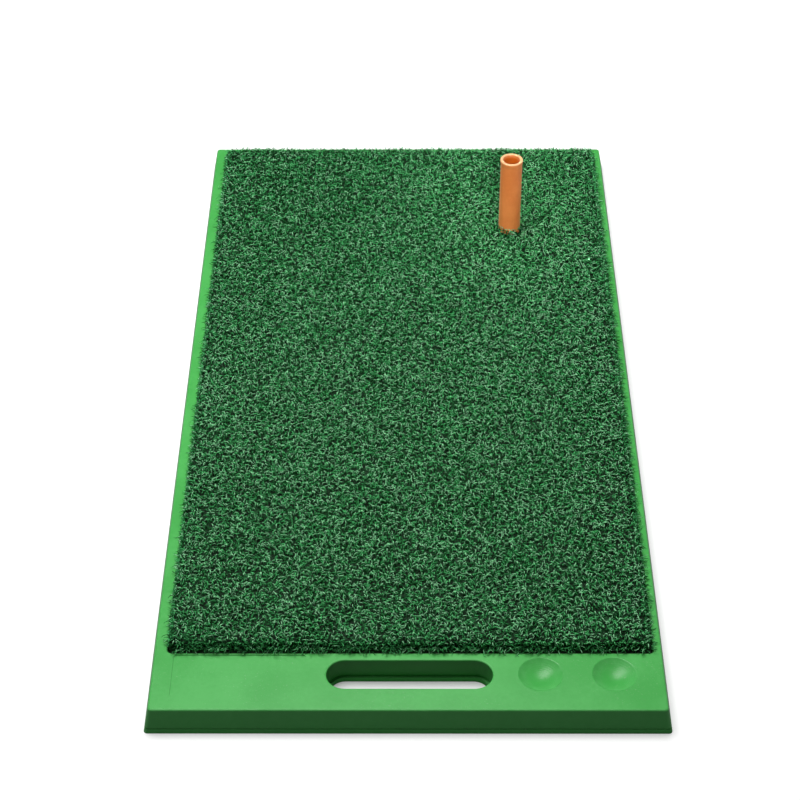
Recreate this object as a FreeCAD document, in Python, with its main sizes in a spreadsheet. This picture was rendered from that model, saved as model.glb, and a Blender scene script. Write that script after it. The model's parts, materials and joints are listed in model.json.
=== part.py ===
import FreeCAD, Part
import math
import os

import Sketcher
from FreeCAD import Vector

# Golf hitting mat: a moulded rubber tray on a non-slip sole, with tufted turf on a foam pad in its
# recess, a bare front strip with a hand slot, two ball cups and an empty badge recess, and a hollow
# rubber tee that is pushed up from below.
#
# Frame: millimetres, +Z up, +X to the right, +Y from the handle end to the far end.
# Origin: on the floor, at the middle of the footprint.

SIZES = [
    # outside of the mat
    ("mat_width", 330.0),
    ("mat_length", 635.0),
    ("mat_corner_radius", 2.5),
    ("rim_height", 18.0),
    ("wall_draft", 3.5),
    ("top_edge_radius", 1.2),
    ("sole_thickness", 3.5),
    ("seam_chamfer", 0.5),
    # recess that the turf lies in
    ("left_rim", 11.5),
    ("right_rim", 8.5),
    ("far_rim", 11.5),
    ("strip_depth", 51.5),
    ("recess_depth", 8.5),
    ("recess_corner_radius", 3.0),
    ("recess_edge_bevel", 0.6),
    # front strip
    ("strip_row_from_front", 33.5),
    ("slot_length", 105.0),
    ("slot_width", 23.6),
    ("slot_centre_x", 1.0),
    ("slot_edge_radius", 1.0),
    ("slot_ledge", 1.8),
    ("cup_diameter", 28.0),
    ("cup_depth", 5.0),
    ("cup_count", 2.0),
    ("cup_pitch", 46.5),
    ("first_cup_x", 83.6),
    ("cup_edge_radius", 0.8),
    ("badge_width", 84.0),
    ("badge_height", 36.0),
    ("badge_depth", 0.5),
    ("badge_centre_x", -107.0),
    ("badge_from_front", 31.9),
    ("badge_corner_radius", 2.0),
    # waffle ribs under the recess
    ("web_thickness", 2.5),
    ("rib_border", 6.0),
    ("rib_thickness", 4.0),
    ("pockets_across", 7.0),
    ("pockets_along", 13.0),
    ("tee_boss_diameter", 58.0),
    # grip grooves under the sole
    ("grip_border", 14.0),
    ("groove_width", 3.0),
    ("groove_depth", 0.8),
    ("groove_pitch", 14.0),
    # pad and turf, from the recess floor up
    ("pad_thickness", 4.5),
    ("pad_gap", 1.0),
    ("latex_thickness", 0.8),
    ("primary_thickness", 0.7),
    ("pile_height", 10.0),
    ("pile_edge_bevel", 1.5),
    ("turf_gap", 1.5),
    ("turf_corner_radius", 2.0),
    # rubber tee
    ("tee_centre_x", 81.0),
    ("tee_from_far", 125.5),
    ("tee_height", 88.5),
    ("tee_stem_diameter", 17.2),
    ("tee_stem_taper", 0.4),
    ("tee_lip_diameter", 17.5),
    ("tee_lip_height", 2.4),
    ("tee_bore_diameter", 11.5),
    ("tee_mouth_diameter", 13.4),
    ("tee_mouth_depth", 2.5),
    ("tee_foot_diameter", 46.0),
    ("tee_edge_bevel", 0.6),
    ("tee_root_bevel", 1.2),
    ("tee_hole_gap", 0.6),
    ("tee_foot_gap", 1.0),
    ("tee_roof_gap", 0.3),
    ("tee_floor_gap", 0.4),
]

OUTPUT_FOLDER = "parts"
TOLERANCE = 0.001

doc = FreeCAD.newDocument("hitting_mat")
sheet = doc.addObject("Spreadsheet::Sheet", "Sizes")
for row, (alias, value) in enumerate(SIZES, start=1):
    sheet.set("A%d" % row, alias)
    sheet.set("B%d" % row, "%g" % value)
    sheet.setAlias("B%d" % row, alias)
doc.recompute()

# Sizes worked out from the sheet, as expressions.
TRAY_HEIGHT = "(Sizes.rim_height - Sizes.sole_thickness)"
SOLE_LEAN = "(Sizes.wall_draft * Sizes.sole_thickness / Sizes.rim_height)"
RECESS_WIDTH = "(Sizes.mat_width - Sizes.left_rim - Sizes.right_rim)"
RECESS_LENGTH = "(Sizes.mat_length - Sizes.strip_depth - Sizes.far_rim)"
RECESS_CENTRE_X = "((Sizes.left_rim - Sizes.right_rim) / 2)"
RECESS_CENTRE_Y = "((Sizes.strip_depth - Sizes.far_rim) / 2)"
RECESS_FLOOR = "(Sizes.rim_height - Sizes.recess_depth)"
STRIP_ROW_Y = "(Sizes.strip_row_from_front - Sizes.mat_length / 2)"
BADGE_Y = "(Sizes.badge_from_front - Sizes.mat_length / 2)"
TEE_Y = "(Sizes.mat_length / 2 - Sizes.tee_from_far)"
TEE_HOLE = "(Sizes.tee_lip_diameter + 2 * Sizes.tee_hole_gap)"
GRID_WIDTH = "(%s - 2 * Sizes.rib_border)" % RECESS_WIDTH
GRID_LENGTH = "(%s - 2 * Sizes.rib_border)" % RECESS_LENGTH


def number(expression):
    """The plain number that an expression on the sheet stands for."""
    value = sheet.evalExpression(expression)
    return float(getattr(value, "Value", value))


def new_body(name):
    """A PartDesign body whose label names its file."""
    body = doc.addObject("PartDesign::Body", name)
    body.Label = name
    return body


def place(body, x="0", y="0", z="0"):
    """Put a finished body where the sheet says."""
    for axis, expression in (("x", x), ("y", y), ("z", z)):
        body.setExpression("Placement.Base." + axis, expression)


def own_plane(body, role):
    """One of the body's own origin planes."""
    return next(item for item in body.Origin.OriginFeatures if item.Role == role)


def new_sketch(body, name, x="0", y="0", z="0", role="XY_Plane"):
    """A sketch on one of the body's own planes, moved within it by x and y and off it by z."""
    sketch = body.newObject("Sketcher::SketchObject", name)
    sketch.AttachmentSupport = (own_plane(body, role), [""])
    sketch.MapMode = "FlatFace"
    for axis, expression in (("x", x), ("y", y), ("z", z)):
        sketch.setExpression("AttachmentOffset.Base." + axis, expression)
    return sketch


def size(sketch, name, constraint, expression):
    """Add a dimension to a sketch and tie it to the sheet."""
    index = sketch.addConstraint(constraint)
    sketch.renameConstraint(index, name)
    sketch.setExpression("Constraints." + name, expression)


def arc(x, y, radius, start_degrees, end_degrees):
    """An arc about (x, y), counter-clockwise."""
    circle = Part.Circle(Vector(x, y, 0), Vector(0, 0, 1), radius)
    return Part.ArcOfCircle(circle, math.radians(start_degrees), math.radians(end_degrees))


def line(x0, y0, x1, y1):
    return Part.LineSegment(Vector(x0, y0, 0), Vector(x1, y1, 0))


def draw_rounded_rectangle(sketch, width, length, radius):
    """A rectangle with round corners about the sketch's origin."""
    half_x = number(width) / 2
    half_y = number(length) / 2
    corner = number(radius)
    flat_x = half_x - corner
    flat_y = half_y - corner
    outline = [
        line(-flat_x, -half_y, flat_x, -half_y),
        arc(flat_x, -flat_y, corner, -90, 0),
        line(half_x, -flat_y, half_x, flat_y),
        arc(flat_x, flat_y, corner, 0, 90),
        line(flat_x, half_y, -flat_x, half_y),
        arc(-flat_x, flat_y, corner, 90, 180),
        line(-half_x, flat_y, -half_x, -flat_y),
        arc(-flat_x, -flat_y, corner, 180, 270),
    ]
    sketch.addGeometry(outline, False)
    rules = [Sketcher.Constraint("Tangent", k, 2, (k + 1) % 8, 1) for k in range(8)]
    rules += [Sketcher.Constraint("Horizontal", k) for k in (0, 4)]
    rules += [Sketcher.Constraint("Vertical", k) for k in (2, 6)]
    rules += [Sketcher.Constraint("Equal", k, k + 2) for k in (1, 3, 5)]
    rules.append(Sketcher.Constraint("Symmetric", 0, 1, 4, 1, -1, 1))
    sketch.addConstraint(rules)
    size(sketch, "width", Sketcher.Constraint("DistanceX", 6, 1, 2, 1, 2 * half_x), width)
    size(sketch, "length", Sketcher.Constraint("DistanceY", 0, 1, 4, 1, 2 * half_y), length)
    size(sketch, "corner", Sketcher.Constraint("Radius", 1, corner), radius)


def draw_rectangle(sketch, width, length):
    """A rectangle with sharp corners about the sketch's origin."""
    half_x = number(width) / 2
    half_y = number(length) / 2
    outline = [
        line(-half_x, -half_y, half_x, -half_y),
        line(half_x, -half_y, half_x, half_y),
        line(half_x, half_y, -half_x, half_y),
        line(-half_x, half_y, -half_x, -half_y),
    ]
    sketch.addGeometry(outline, False)
    rules = [Sketcher.Constraint("Coincident", k, 2, (k + 1) % 4, 1) for k in range(4)]
    rules += [Sketcher.Constraint("Horizontal", k) for k in (0, 2)]
    rules += [Sketcher.Constraint("Vertical", k) for k in (1, 3)]
    rules.append(Sketcher.Constraint("Symmetric", 0, 1, 2, 1, -1, 1))
    sketch.addConstraint(rules)
    size(sketch, "width", Sketcher.Constraint("DistanceX", 0, 1, 0, 2, 2 * half_x), width)
    size(sketch, "length", Sketcher.Constraint("DistanceY", 1, 1, 1, 2, 2 * half_y), length)


def draw_round_ended_slot(sketch, length, width):
    """A slot with full round ends about the sketch's origin, along X."""
    end = number(width) / 2
    reach = number(length) / 2 - end
    outline = [
        line(-reach, -end, reach, -end),
        arc(reach, 0, end, -90, 90),
        line(reach, end, -reach, end),
        arc(-reach, 0, end, 90, 270),
    ]
    sketch.addGeometry(outline, False)
    rules = [Sketcher.Constraint("Tangent", k, 2, (k + 1) % 4, 1) for k in range(4)]
    rules.append(Sketcher.Constraint("Horizontal", 0))
    rules.append(Sketcher.Constraint("Equal", 1, 3))
    rules.append(Sketcher.Constraint("Symmetric", 0, 1, 2, 1, -1, 1))
    sketch.addConstraint(rules)
    centres = "%s - %s" % (length, width)
    size(sketch, "width", Sketcher.Constraint("DistanceY", 0, 1, 2, 1, 2 * end), width)
    size(sketch, "centres", Sketcher.Constraint("DistanceX", 3, 3, 1, 3, 2 * reach), centres)


def draw_circle(sketch, diameter):
    """A circle about the sketch's origin."""
    radius = number(diameter) / 2
    sketch.addGeometry(Part.Circle(Vector(0, 0, 0), Vector(0, 0, 1), radius), False)
    sketch.addConstraint(Sketcher.Constraint("Coincident", 0, 3, -1, 1))
    size(sketch, "diameter", Sketcher.Constraint("Diameter", 0, 2 * radius), diameter)


def draw_turned_profile(sketch, corners):
    """A closed outline through named corners: each a name, its radius and its height."""
    count = len(corners)
    spots = [(number(radius), number(height)) for _, radius, height in corners]
    outline = [line(*spots[k], *spots[(k + 1) % count]) for k in range(count)]
    sketch.addGeometry(outline, False)
    joins = [Sketcher.Constraint("Coincident", k, 2, (k + 1) % count, 1) for k in range(count)]
    sketch.addConstraint(joins)
    for k, (name, radius, height) in enumerate(corners):
        across = Sketcher.Constraint("DistanceX", -1, 1, k, 1, spots[k][0])
        size(sketch, name + "_across", across, radius)
        if height == "0":
            sketch.addConstraint(Sketcher.Constraint("PointOnObject", k, 1, -1))
            continue
        upward = Sketcher.Constraint("DistanceY", -1, 1, k, 1, spots[k][1])
        size(sketch, name + "_up", upward, height)


def draw_cup_section(sketch, diameter, depth):
    """Half the section of a spherical cup: its mouth on the X axis, its foot on the Y axis."""
    mouth = number(diameter) / 2
    foot = number(depth)
    ball = (mouth ** 2 + foot ** 2) / (2 * foot)
    edge_angle = math.degrees(math.asin((ball - foot) / ball))
    outline = [
        line(0, -foot, 0, 0),
        line(0, 0, mouth, 0),
        arc(0, ball - foot, ball, -90, -edge_angle),
    ]
    sketch.addGeometry(outline, False)
    rules = [
        Sketcher.Constraint("Coincident", 0, 2, 1, 1),
        Sketcher.Constraint("Coincident", 1, 1, -1, 1),
        Sketcher.Constraint("Coincident", 1, 2, 2, 2),
        Sketcher.Constraint("Coincident", 0, 1, 2, 1),
        Sketcher.Constraint("Horizontal", 1),
        Sketcher.Constraint("Vertical", 0),
        Sketcher.Constraint("PointOnObject", 2, 3, -2),
    ]
    sketch.addConstraint(rules)
    size(sketch, "mouth", Sketcher.Constraint("DistanceX", 1, 1, 1, 2, mouth), diameter + " / 2")
    size(sketch, "depth", Sketcher.Constraint("DistanceY", 0, 1, 0, 2, foot), depth)


def solid_volume(body):
    doc.recompute()
    return body.Shape.Volume


def pocket(body, sketch, depth=None, upward=False):
    """Cut a sketch into the body, downward or upward, to a depth or right through."""
    before = solid_volume(body)
    cut = body.newObject("PartDesign::Pocket", sketch.Name + "_cut")
    cut.Profile = sketch
    cut.Reversed = upward
    if depth is None:
        cut.Type = "ThroughAll"
    else:
        cut.setExpression("Length", depth)
    if solid_volume(body) > before - TOLERANCE:
        raise RuntimeError(cut.Name + " cuts nothing")
    return cut


def pad(body, sketch, thickness):
    """Raise a sketch by a thickness."""
    raised = body.newObject("PartDesign::Pad", sketch.Name + "_pad")
    raised.Profile = sketch
    raised.setExpression("Length", thickness)
    doc.recompute()
    return raised


def drafted_block(body, name, width, length, height):
    """A round-cornered block whose four walls lean in by the mat's draft on the way up."""
    foot = new_sketch(body, name + "_foot")
    draw_rectangle(foot, width, length)
    block = pad(body, foot, height)
    tall = number(height) / 2
    walls = ["Face%d" % index for index, face in enumerate(block.Shape.Faces, start=1)
             if face.BoundBox.ZLength > tall]
    draft = body.newObject("PartDesign::Draft", name + "_draft")
    draft.Base = (block, walls)
    draft.NeutralPlane = (own_plane(body, "XY_Plane"), [""])
    draft.setExpression("Angle", "atan(Sizes.wall_draft / Sizes.rim_height)")
    doc.recompute()
    corners = ["Edge%d" % index for index, edge in enumerate(body.Shape.Edges, start=1)
               if edge.BoundBox.ZLength > tall]
    soften(body, name + "_corners", "Fillet", "Sizes.mat_corner_radius", corners)


def level_edges(body, level, inside=None):
    """Names of the edges that lie at one height, within a window of x and y if one is given."""
    names = []
    for index, edge in enumerate(body.Shape.Edges, start=1):
        box = edge.BoundBox
        if abs(box.ZMin - level) > TOLERANCE or abs(box.ZMax - level) > TOLERANCE:
            continue
        if inside is not None:
            low_x, high_x, low_y, high_y = inside
            if box.XMin < low_x or box.XMax > high_x or box.YMin < low_y or box.YMax > high_y:
                continue
        names.append("Edge%d" % index)
    return names


def window(centre_x, centre_y, width, length):
    """A window of x and y that just holds an outline of this width and length."""
    half_x = number(width) / 2 + TOLERANCE
    half_y = number(length) / 2 + TOLERANCE
    middle_x = number(centre_x)
    middle_y = number(centre_y)
    return middle_x - half_x, middle_x + half_x, middle_y - half_y, middle_y + half_y


def soften(body, name, kind, expression, edge_names):
    """Round or chamfer edges of the body as it stands."""
    base = body.Tip
    finish = body.newObject("PartDesign::" + kind, name)
    finish.Base = (base, edge_names)
    finish.setExpression("Radius" if kind == "Fillet" else "Size", expression)
    doc.recompute()
    if not edge_names or not finish.Shape.isValid():
        raise RuntimeError(name + " can't be finished")


def repeat(body, feature, sketch, name, steps):
    """Repeat a cut along the sketch's axes: each step an axis, a spacing and a count."""
    pattern = body.newObject("PartDesign::LinearPattern", name)
    pattern.Originals = [feature]
    for suffix, (axis, spacing, count) in zip(("", "2"), steps):
        setattr(pattern, "Direction" + suffix, (sketch, [axis]))
        setattr(pattern, "Mode" + suffix, "Spacing")
        pattern.setExpression("Offset" + suffix, spacing)
        pattern.setExpression("Occurrences" + suffix, count)
    body.Tip = pattern
    doc.recompute()
    return pattern


def tee_hole(body, name, diameter):
    """A round hole for the tee, right through a body whose foot is at its own zero."""
    hole = new_sketch(body, name, x="Sizes.tee_centre_x", y=TEE_Y)
    draw_circle(hole, diameter)
    return pocket(body, hole, upward=True)


def build_tray():
    """The moulded tray: it carries the turf and is the handle, the ball rack and the frame."""
    body = new_body("base_tray")
    drafted_block(body, "tray", "(Sizes.mat_width - 2 * %s)" % SOLE_LEAN,
                  "(Sizes.mat_length - 2 * %s)" % SOLE_LEAN, TRAY_HEIGHT)
    rim = number(TRAY_HEIGHT)
    soften(body, "top_edge", "Fillet", "Sizes.top_edge_radius", level_edges(body, rim))
    soften(body, "tray_seam", "Chamfer", "Sizes.seam_chamfer", level_edges(body, 0.0))

    recess = new_sketch(body, "recess", x=RECESS_CENTRE_X, y=RECESS_CENTRE_Y, z=TRAY_HEIGHT)
    draw_rounded_rectangle(recess, RECESS_WIDTH, RECESS_LENGTH, "Sizes.recess_corner_radius")
    pocket(body, recess, "Sizes.recess_depth")
    around = window(RECESS_CENTRE_X, RECESS_CENTRE_Y, RECESS_WIDTH, RECESS_LENGTH)
    soften(body, "recess_edge", "Chamfer", "Sizes.recess_edge_bevel",
           level_edges(body, rim, around))

    slot = new_sketch(body, "hand_slot", x="Sizes.slot_centre_x", y=STRIP_ROW_Y)
    draw_round_ended_slot(slot, "Sizes.slot_length", "Sizes.slot_width")
    pocket(body, slot, upward=True)
    around = window("Sizes.slot_centre_x", STRIP_ROW_Y, "Sizes.slot_length", "Sizes.slot_width")
    soften(body, "slot_edge", "Fillet", "Sizes.slot_edge_radius", level_edges(body, rim, around))

    badge = new_sketch(body, "badge", x="Sizes.badge_centre_x", y=BADGE_Y, z=TRAY_HEIGHT)
    draw_rounded_rectangle(badge, "Sizes.badge_width", "Sizes.badge_height",
                           "Sizes.badge_corner_radius")
    pocket(body, badge, "Sizes.badge_depth")
    cut_ball_cups(body, rim)
    cut_waffle(body)
    tee_hole(body, "tee_way", TEE_HOLE)
    around = window("Sizes.tee_centre_x", TEE_Y, TEE_HOLE, TEE_HOLE)
    soften(body, "tee_lead_in", "Chamfer", "(Sizes.tee_root_bevel + Sizes.tee_roof_gap)",
           level_edges(body, 0.0, around))
    place(body, z="Sizes.sole_thickness")
    return body


def cut_ball_cups(body, rim):
    """The spherical cups that keep balls from rolling off, in one row, with soft mouths."""
    section = new_sketch(body, "ball_cup", x="Sizes.first_cup_x", y=TRAY_HEIGHT,
                         z="-" + STRIP_ROW_Y, role="XZ_Plane")
    draw_cup_section(section, "Sizes.cup_diameter", "Sizes.cup_depth")
    before = solid_volume(body)
    cup = body.newObject("PartDesign::Groove", "ball_cup_cut")
    cup.Profile = section
    cup.ReferenceAxis = (section, ["V_Axis"])
    if solid_volume(body) > before - TOLERANCE:
        raise RuntimeError("the ball cup cuts nothing")
    repeat(body, cup, section, "ball_cups",
           [("H_Axis", "Sizes.cup_pitch", "Sizes.cup_count")])
    row = "(Sizes.cup_pitch * (Sizes.cup_count - 1))"
    around = window("Sizes.first_cup_x + %s / 2" % row, STRIP_ROW_Y,
                    "%s + Sizes.cup_diameter" % row, "Sizes.cup_diameter")
    soften(body, "cup_edge", "Fillet", "Sizes.cup_edge_radius", level_edges(body, rim, around))


def cut_waffle(body):
    """The grid of pockets that leaves ribs under the recess, with a solid boss round the tee."""
    across = "((%s + Sizes.rib_thickness) / Sizes.pockets_across)" % GRID_WIDTH
    along = "((%s + Sizes.rib_thickness) / Sizes.pockets_along)" % GRID_LENGTH
    wide = "(%s - Sizes.rib_thickness)" % across
    long = "(%s - Sizes.rib_thickness)" % along
    depth = "(%s - Sizes.recess_depth - Sizes.web_thickness)" % TRAY_HEIGHT
    first_x = "%s + (%s - %s) / 2" % (RECESS_CENTRE_X, wide, GRID_WIDTH)
    first_y = "%s + (%s - %s) / 2" % (RECESS_CENTRE_Y, long, GRID_LENGTH)
    corner = new_sketch(body, "waffle", x=first_x, y=first_y)
    draw_rectangle(corner, wide, long)
    first = pocket(body, corner, depth, upward=True)
    repeat(body, first, corner, "waffle_grid",
           [("H_Axis", across, "Sizes.pockets_across"), ("V_Axis", along, "Sizes.pockets_along")])
    boss = new_sketch(body, "tee_boss", x="Sizes.tee_centre_x", y=TEE_Y)
    draw_circle(boss, "Sizes.tee_boss_diameter")
    pad(body, boss, depth)


def build_sole():
    """The non-slip layer under the tray, grooved where it stands, with a window for the tee."""
    body = new_body("anti_slip_sole")
    drafted_block(body, "sole", "Sizes.mat_width", "Sizes.mat_length", "Sizes.sole_thickness")
    top = number("Sizes.sole_thickness")
    soften(body, "sole_seam", "Chamfer", "Sizes.seam_chamfer", level_edges(body, top))
    slot = new_sketch(body, "sole_slot", x="Sizes.slot_centre_x", y=STRIP_ROW_Y)
    draw_round_ended_slot(slot, "(Sizes.slot_length - 2 * Sizes.slot_ledge)",
                          "(Sizes.slot_width - 2 * Sizes.slot_ledge)")
    pocket(body, slot, upward=True)
    tee_hole(body, "foot_window", "(Sizes.tee_foot_diameter + 2 * Sizes.tee_foot_gap)")

    run = "(%s - 2 * Sizes.grip_border)" % RECESS_LENGTH
    count = "(floor(%s / Sizes.groove_pitch) + 1)" % run
    first_y = "%s - Sizes.groove_pitch * (%s - 1) / 2" % (RECESS_CENTRE_Y, count)
    groove = new_sketch(body, "grip", y=first_y)
    draw_rectangle(groove, "(Sizes.mat_width - 2 * Sizes.grip_border)", "Sizes.groove_width")
    first = pocket(body, groove, "Sizes.groove_depth", upward=True)
    repeat(body, first, groove, "grip_grooves", [("V_Axis", "Sizes.groove_pitch", count)])
    return body


def build_layer(name, gap, radius, thickness, height):
    """One flat layer in the recess, smaller than it by a gap, with a hole for the tee."""
    body = new_body(name)
    outline = new_sketch(body, name + "_outline", x=RECESS_CENTRE_X, y=RECESS_CENTRE_Y)
    draw_rounded_rectangle(outline, "(%s - 2 * %s)" % (RECESS_WIDTH, gap),
                           "(%s - 2 * %s)" % (RECESS_LENGTH, gap), radius)
    pad(body, outline, thickness)
    tee_hole(body, name + "_tee_hole", TEE_HOLE)
    place(body, z=height)
    return body


def build_turf_and_pad():
    """The foam pad and the three layers of the tufted turf, stacked from the recess floor."""
    bodies = []
    height = RECESS_FLOOR
    pad_corner = "Sizes.recess_corner_radius"
    bodies.append(build_layer("shock_pad", "Sizes.pad_gap", pad_corner, "Sizes.pad_thickness",
                              height))
    below = "Sizes.pad_thickness"
    turf_layers = (
        ("turf_latex_coat", "Sizes.latex_thickness"),
        ("turf_primary_backing", "Sizes.primary_thickness"),
        ("turf_pile", "Sizes.pile_height"),
    )
    for name, thickness in turf_layers:
        height = "%s + %s" % (height, below)
        bodies.append(build_layer(name, "Sizes.turf_gap", "Sizes.turf_corner_radius", thickness,
                                  height))
        below = thickness
    pile = bodies[-1]
    crown = number("Sizes.pile_height")
    hole = ring_edges(pile, number(TEE_HOLE) / 2, crown)
    outer = [name for name in level_edges(pile, crown) if name not in hole]
    soften(pile, "pile_edge", "Chamfer", "Sizes.pile_edge_bevel", outer)
    return bodies


def build_tee():
    """The hollow rubber tee, turned about its own axis from the underside of its foot up."""
    body = new_body("rubber_tee")
    foot_top = "(Sizes.sole_thickness - Sizes.tee_floor_gap - Sizes.tee_roof_gap)"
    lip_top = "(Sizes.tee_height - Sizes.tee_floor_gap)"
    bore = "(Sizes.tee_bore_diameter / 2)"
    stem_foot = "(Sizes.tee_stem_diameter / 2)"
    stem_neck = "((Sizes.tee_stem_diameter - Sizes.tee_stem_taper) / 2)"
    lip = "(Sizes.tee_lip_diameter / 2)"
    lip_under = "(%s - Sizes.tee_lip_height)" % lip_top
    neck_height = "(%s - (%s - %s))" % (lip_under, lip, stem_neck)
    corners = [
        ("bore_foot", bore, "0"),
        ("foot_edge", "(Sizes.tee_foot_diameter / 2)", "0"),
        ("foot_top", "(Sizes.tee_foot_diameter / 2)", foot_top),
        ("stem_root", stem_foot, foot_top),
        ("stem_neck", stem_neck, neck_height),
        ("lip_under", lip, lip_under),
        ("lip_top", lip, lip_top),
        ("mouth", "(Sizes.tee_mouth_diameter / 2)", lip_top),
        ("bore_top", bore, "(%s - Sizes.tee_mouth_depth)" % lip_top),
    ]
    profile = new_sketch(body, "tee_profile", role="XZ_Plane")
    draw_turned_profile(profile, corners)
    turned = body.newObject("PartDesign::Revolution", "tee_turned")
    turned.Profile = profile
    turned.ReferenceAxis = (profile, ["V_Axis"])
    turned.Angle = 360
    doc.recompute()

    shoulder = number(foot_top)
    soften(body, "tee_root", "Chamfer", "Sizes.tee_root_bevel",
           ring_edges(body, number(stem_foot), shoulder))
    soften(body, "tee_foot", "Chamfer", "Sizes.tee_edge_bevel",
           ring_edges(body, number("Sizes.tee_foot_diameter / 2"), shoulder))
    soften(body, "tee_lip", "Chamfer", "Sizes.tee_edge_bevel",
           ring_edges(body, number(lip), number(lip_top)))
    place(body, "Sizes.tee_centre_x", TEE_Y, "Sizes.tee_floor_gap")
    return body


def ring_edges(body, radius, level):
    """Names of the body's round edges of one radius at one height."""
    names = []
    for index, edge in enumerate(body.Shape.Edges, start=1):
        if not hasattr(edge.Curve, "Radius") or abs(edge.BoundBox.ZMax - level) > TOLERANCE:
            continue
        if abs(edge.Curve.Radius - radius) < TOLERANCE:
            names.append("Edge%d" % index)
    return names


def check(bodies):
    """Stop if any object failed or any sub-part isn't one sound solid."""
    for item in doc.Objects:
        if "Invalid" in item.State or "Error" in item.State:
            raise RuntimeError("%s is %s" % (item.Name, item.State))
    for body in bodies:
        shape = body.Shape
        if shape.isNull() or not shape.isValid() or len(shape.Solids) != 1:
            raise RuntimeError("%s isn't one valid solid" % body.Label)


bodies = [build_tray(), build_sole()] + build_turf_and_pad() + [build_tee()]
doc.recompute()
check(bodies)
os.makedirs(OUTPUT_FOLDER, exist_ok=True)
for body in bodies:
    body.Shape.exportStep(os.path.join(OUTPUT_FOLDER, body.Label + ".step"))
    print("%-22s %9.1f mm3" % (body.Label, body.Shape.Volume))
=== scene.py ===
"""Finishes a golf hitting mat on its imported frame.

The moulded tray and its sole keep their CAD shapes and get their rubber. The tufted turf, its woven backing,
its latex coat, the foam pad and the rubber tee are built here.
"""

import json
import logging
import math
from collections.abc import Callable
from dataclasses import dataclass
from enum import Enum
from functools import partial, reduce
from typing import ClassVar

import bpy
import numpy as np
from mathutils import Matrix, Vector

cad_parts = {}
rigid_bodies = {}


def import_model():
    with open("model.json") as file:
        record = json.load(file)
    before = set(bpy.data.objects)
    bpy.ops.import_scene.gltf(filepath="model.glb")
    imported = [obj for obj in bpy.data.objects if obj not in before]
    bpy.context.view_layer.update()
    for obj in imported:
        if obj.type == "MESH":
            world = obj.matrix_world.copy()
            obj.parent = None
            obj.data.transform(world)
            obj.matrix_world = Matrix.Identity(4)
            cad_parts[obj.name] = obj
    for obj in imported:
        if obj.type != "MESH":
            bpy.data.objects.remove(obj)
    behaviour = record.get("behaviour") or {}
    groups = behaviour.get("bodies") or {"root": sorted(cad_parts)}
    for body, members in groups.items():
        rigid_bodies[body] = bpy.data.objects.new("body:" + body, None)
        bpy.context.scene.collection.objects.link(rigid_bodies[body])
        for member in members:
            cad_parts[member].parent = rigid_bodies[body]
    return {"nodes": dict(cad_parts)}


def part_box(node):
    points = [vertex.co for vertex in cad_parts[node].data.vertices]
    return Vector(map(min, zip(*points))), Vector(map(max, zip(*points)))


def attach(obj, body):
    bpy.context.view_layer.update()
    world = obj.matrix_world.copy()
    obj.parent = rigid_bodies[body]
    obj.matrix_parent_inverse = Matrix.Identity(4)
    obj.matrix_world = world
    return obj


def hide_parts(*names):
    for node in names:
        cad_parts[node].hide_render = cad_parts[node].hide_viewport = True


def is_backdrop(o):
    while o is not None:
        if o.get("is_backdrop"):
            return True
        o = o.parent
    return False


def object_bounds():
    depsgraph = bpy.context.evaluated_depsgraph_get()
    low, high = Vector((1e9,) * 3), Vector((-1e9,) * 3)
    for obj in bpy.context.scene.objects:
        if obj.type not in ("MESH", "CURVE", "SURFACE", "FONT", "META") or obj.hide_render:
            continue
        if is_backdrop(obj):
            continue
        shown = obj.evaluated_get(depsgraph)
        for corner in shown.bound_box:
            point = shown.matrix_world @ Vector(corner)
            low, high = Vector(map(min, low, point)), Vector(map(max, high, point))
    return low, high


LOG = logging.getLogger("hitting_mat")
MM = 0.001
TEE_HOLE = 9.35 * MM

Colour = tuple[float, float, float]
Pair = tuple[float, float]
Socket = bpy.types.NodeSocket
Sockets = bpy.types.bpy_prop_collection


class Body(Enum):
    """The frame's moving bodies."""

    MAT = "mat"
    TEE = "tee"


class Effect(Enum):
    """Surface effects that several finishes share, each one shader node group."""

    SKIN = "moulded_skin"
    # Paler rounded edges: wear and a painted highlight.
    WEAR_AND_HIGHLIGHT = "worn_edge"
    DUST = "settled_dust"
    WEAVE = "tape_weave"


# ---------------------------------------------------------------- shader nodes


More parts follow.
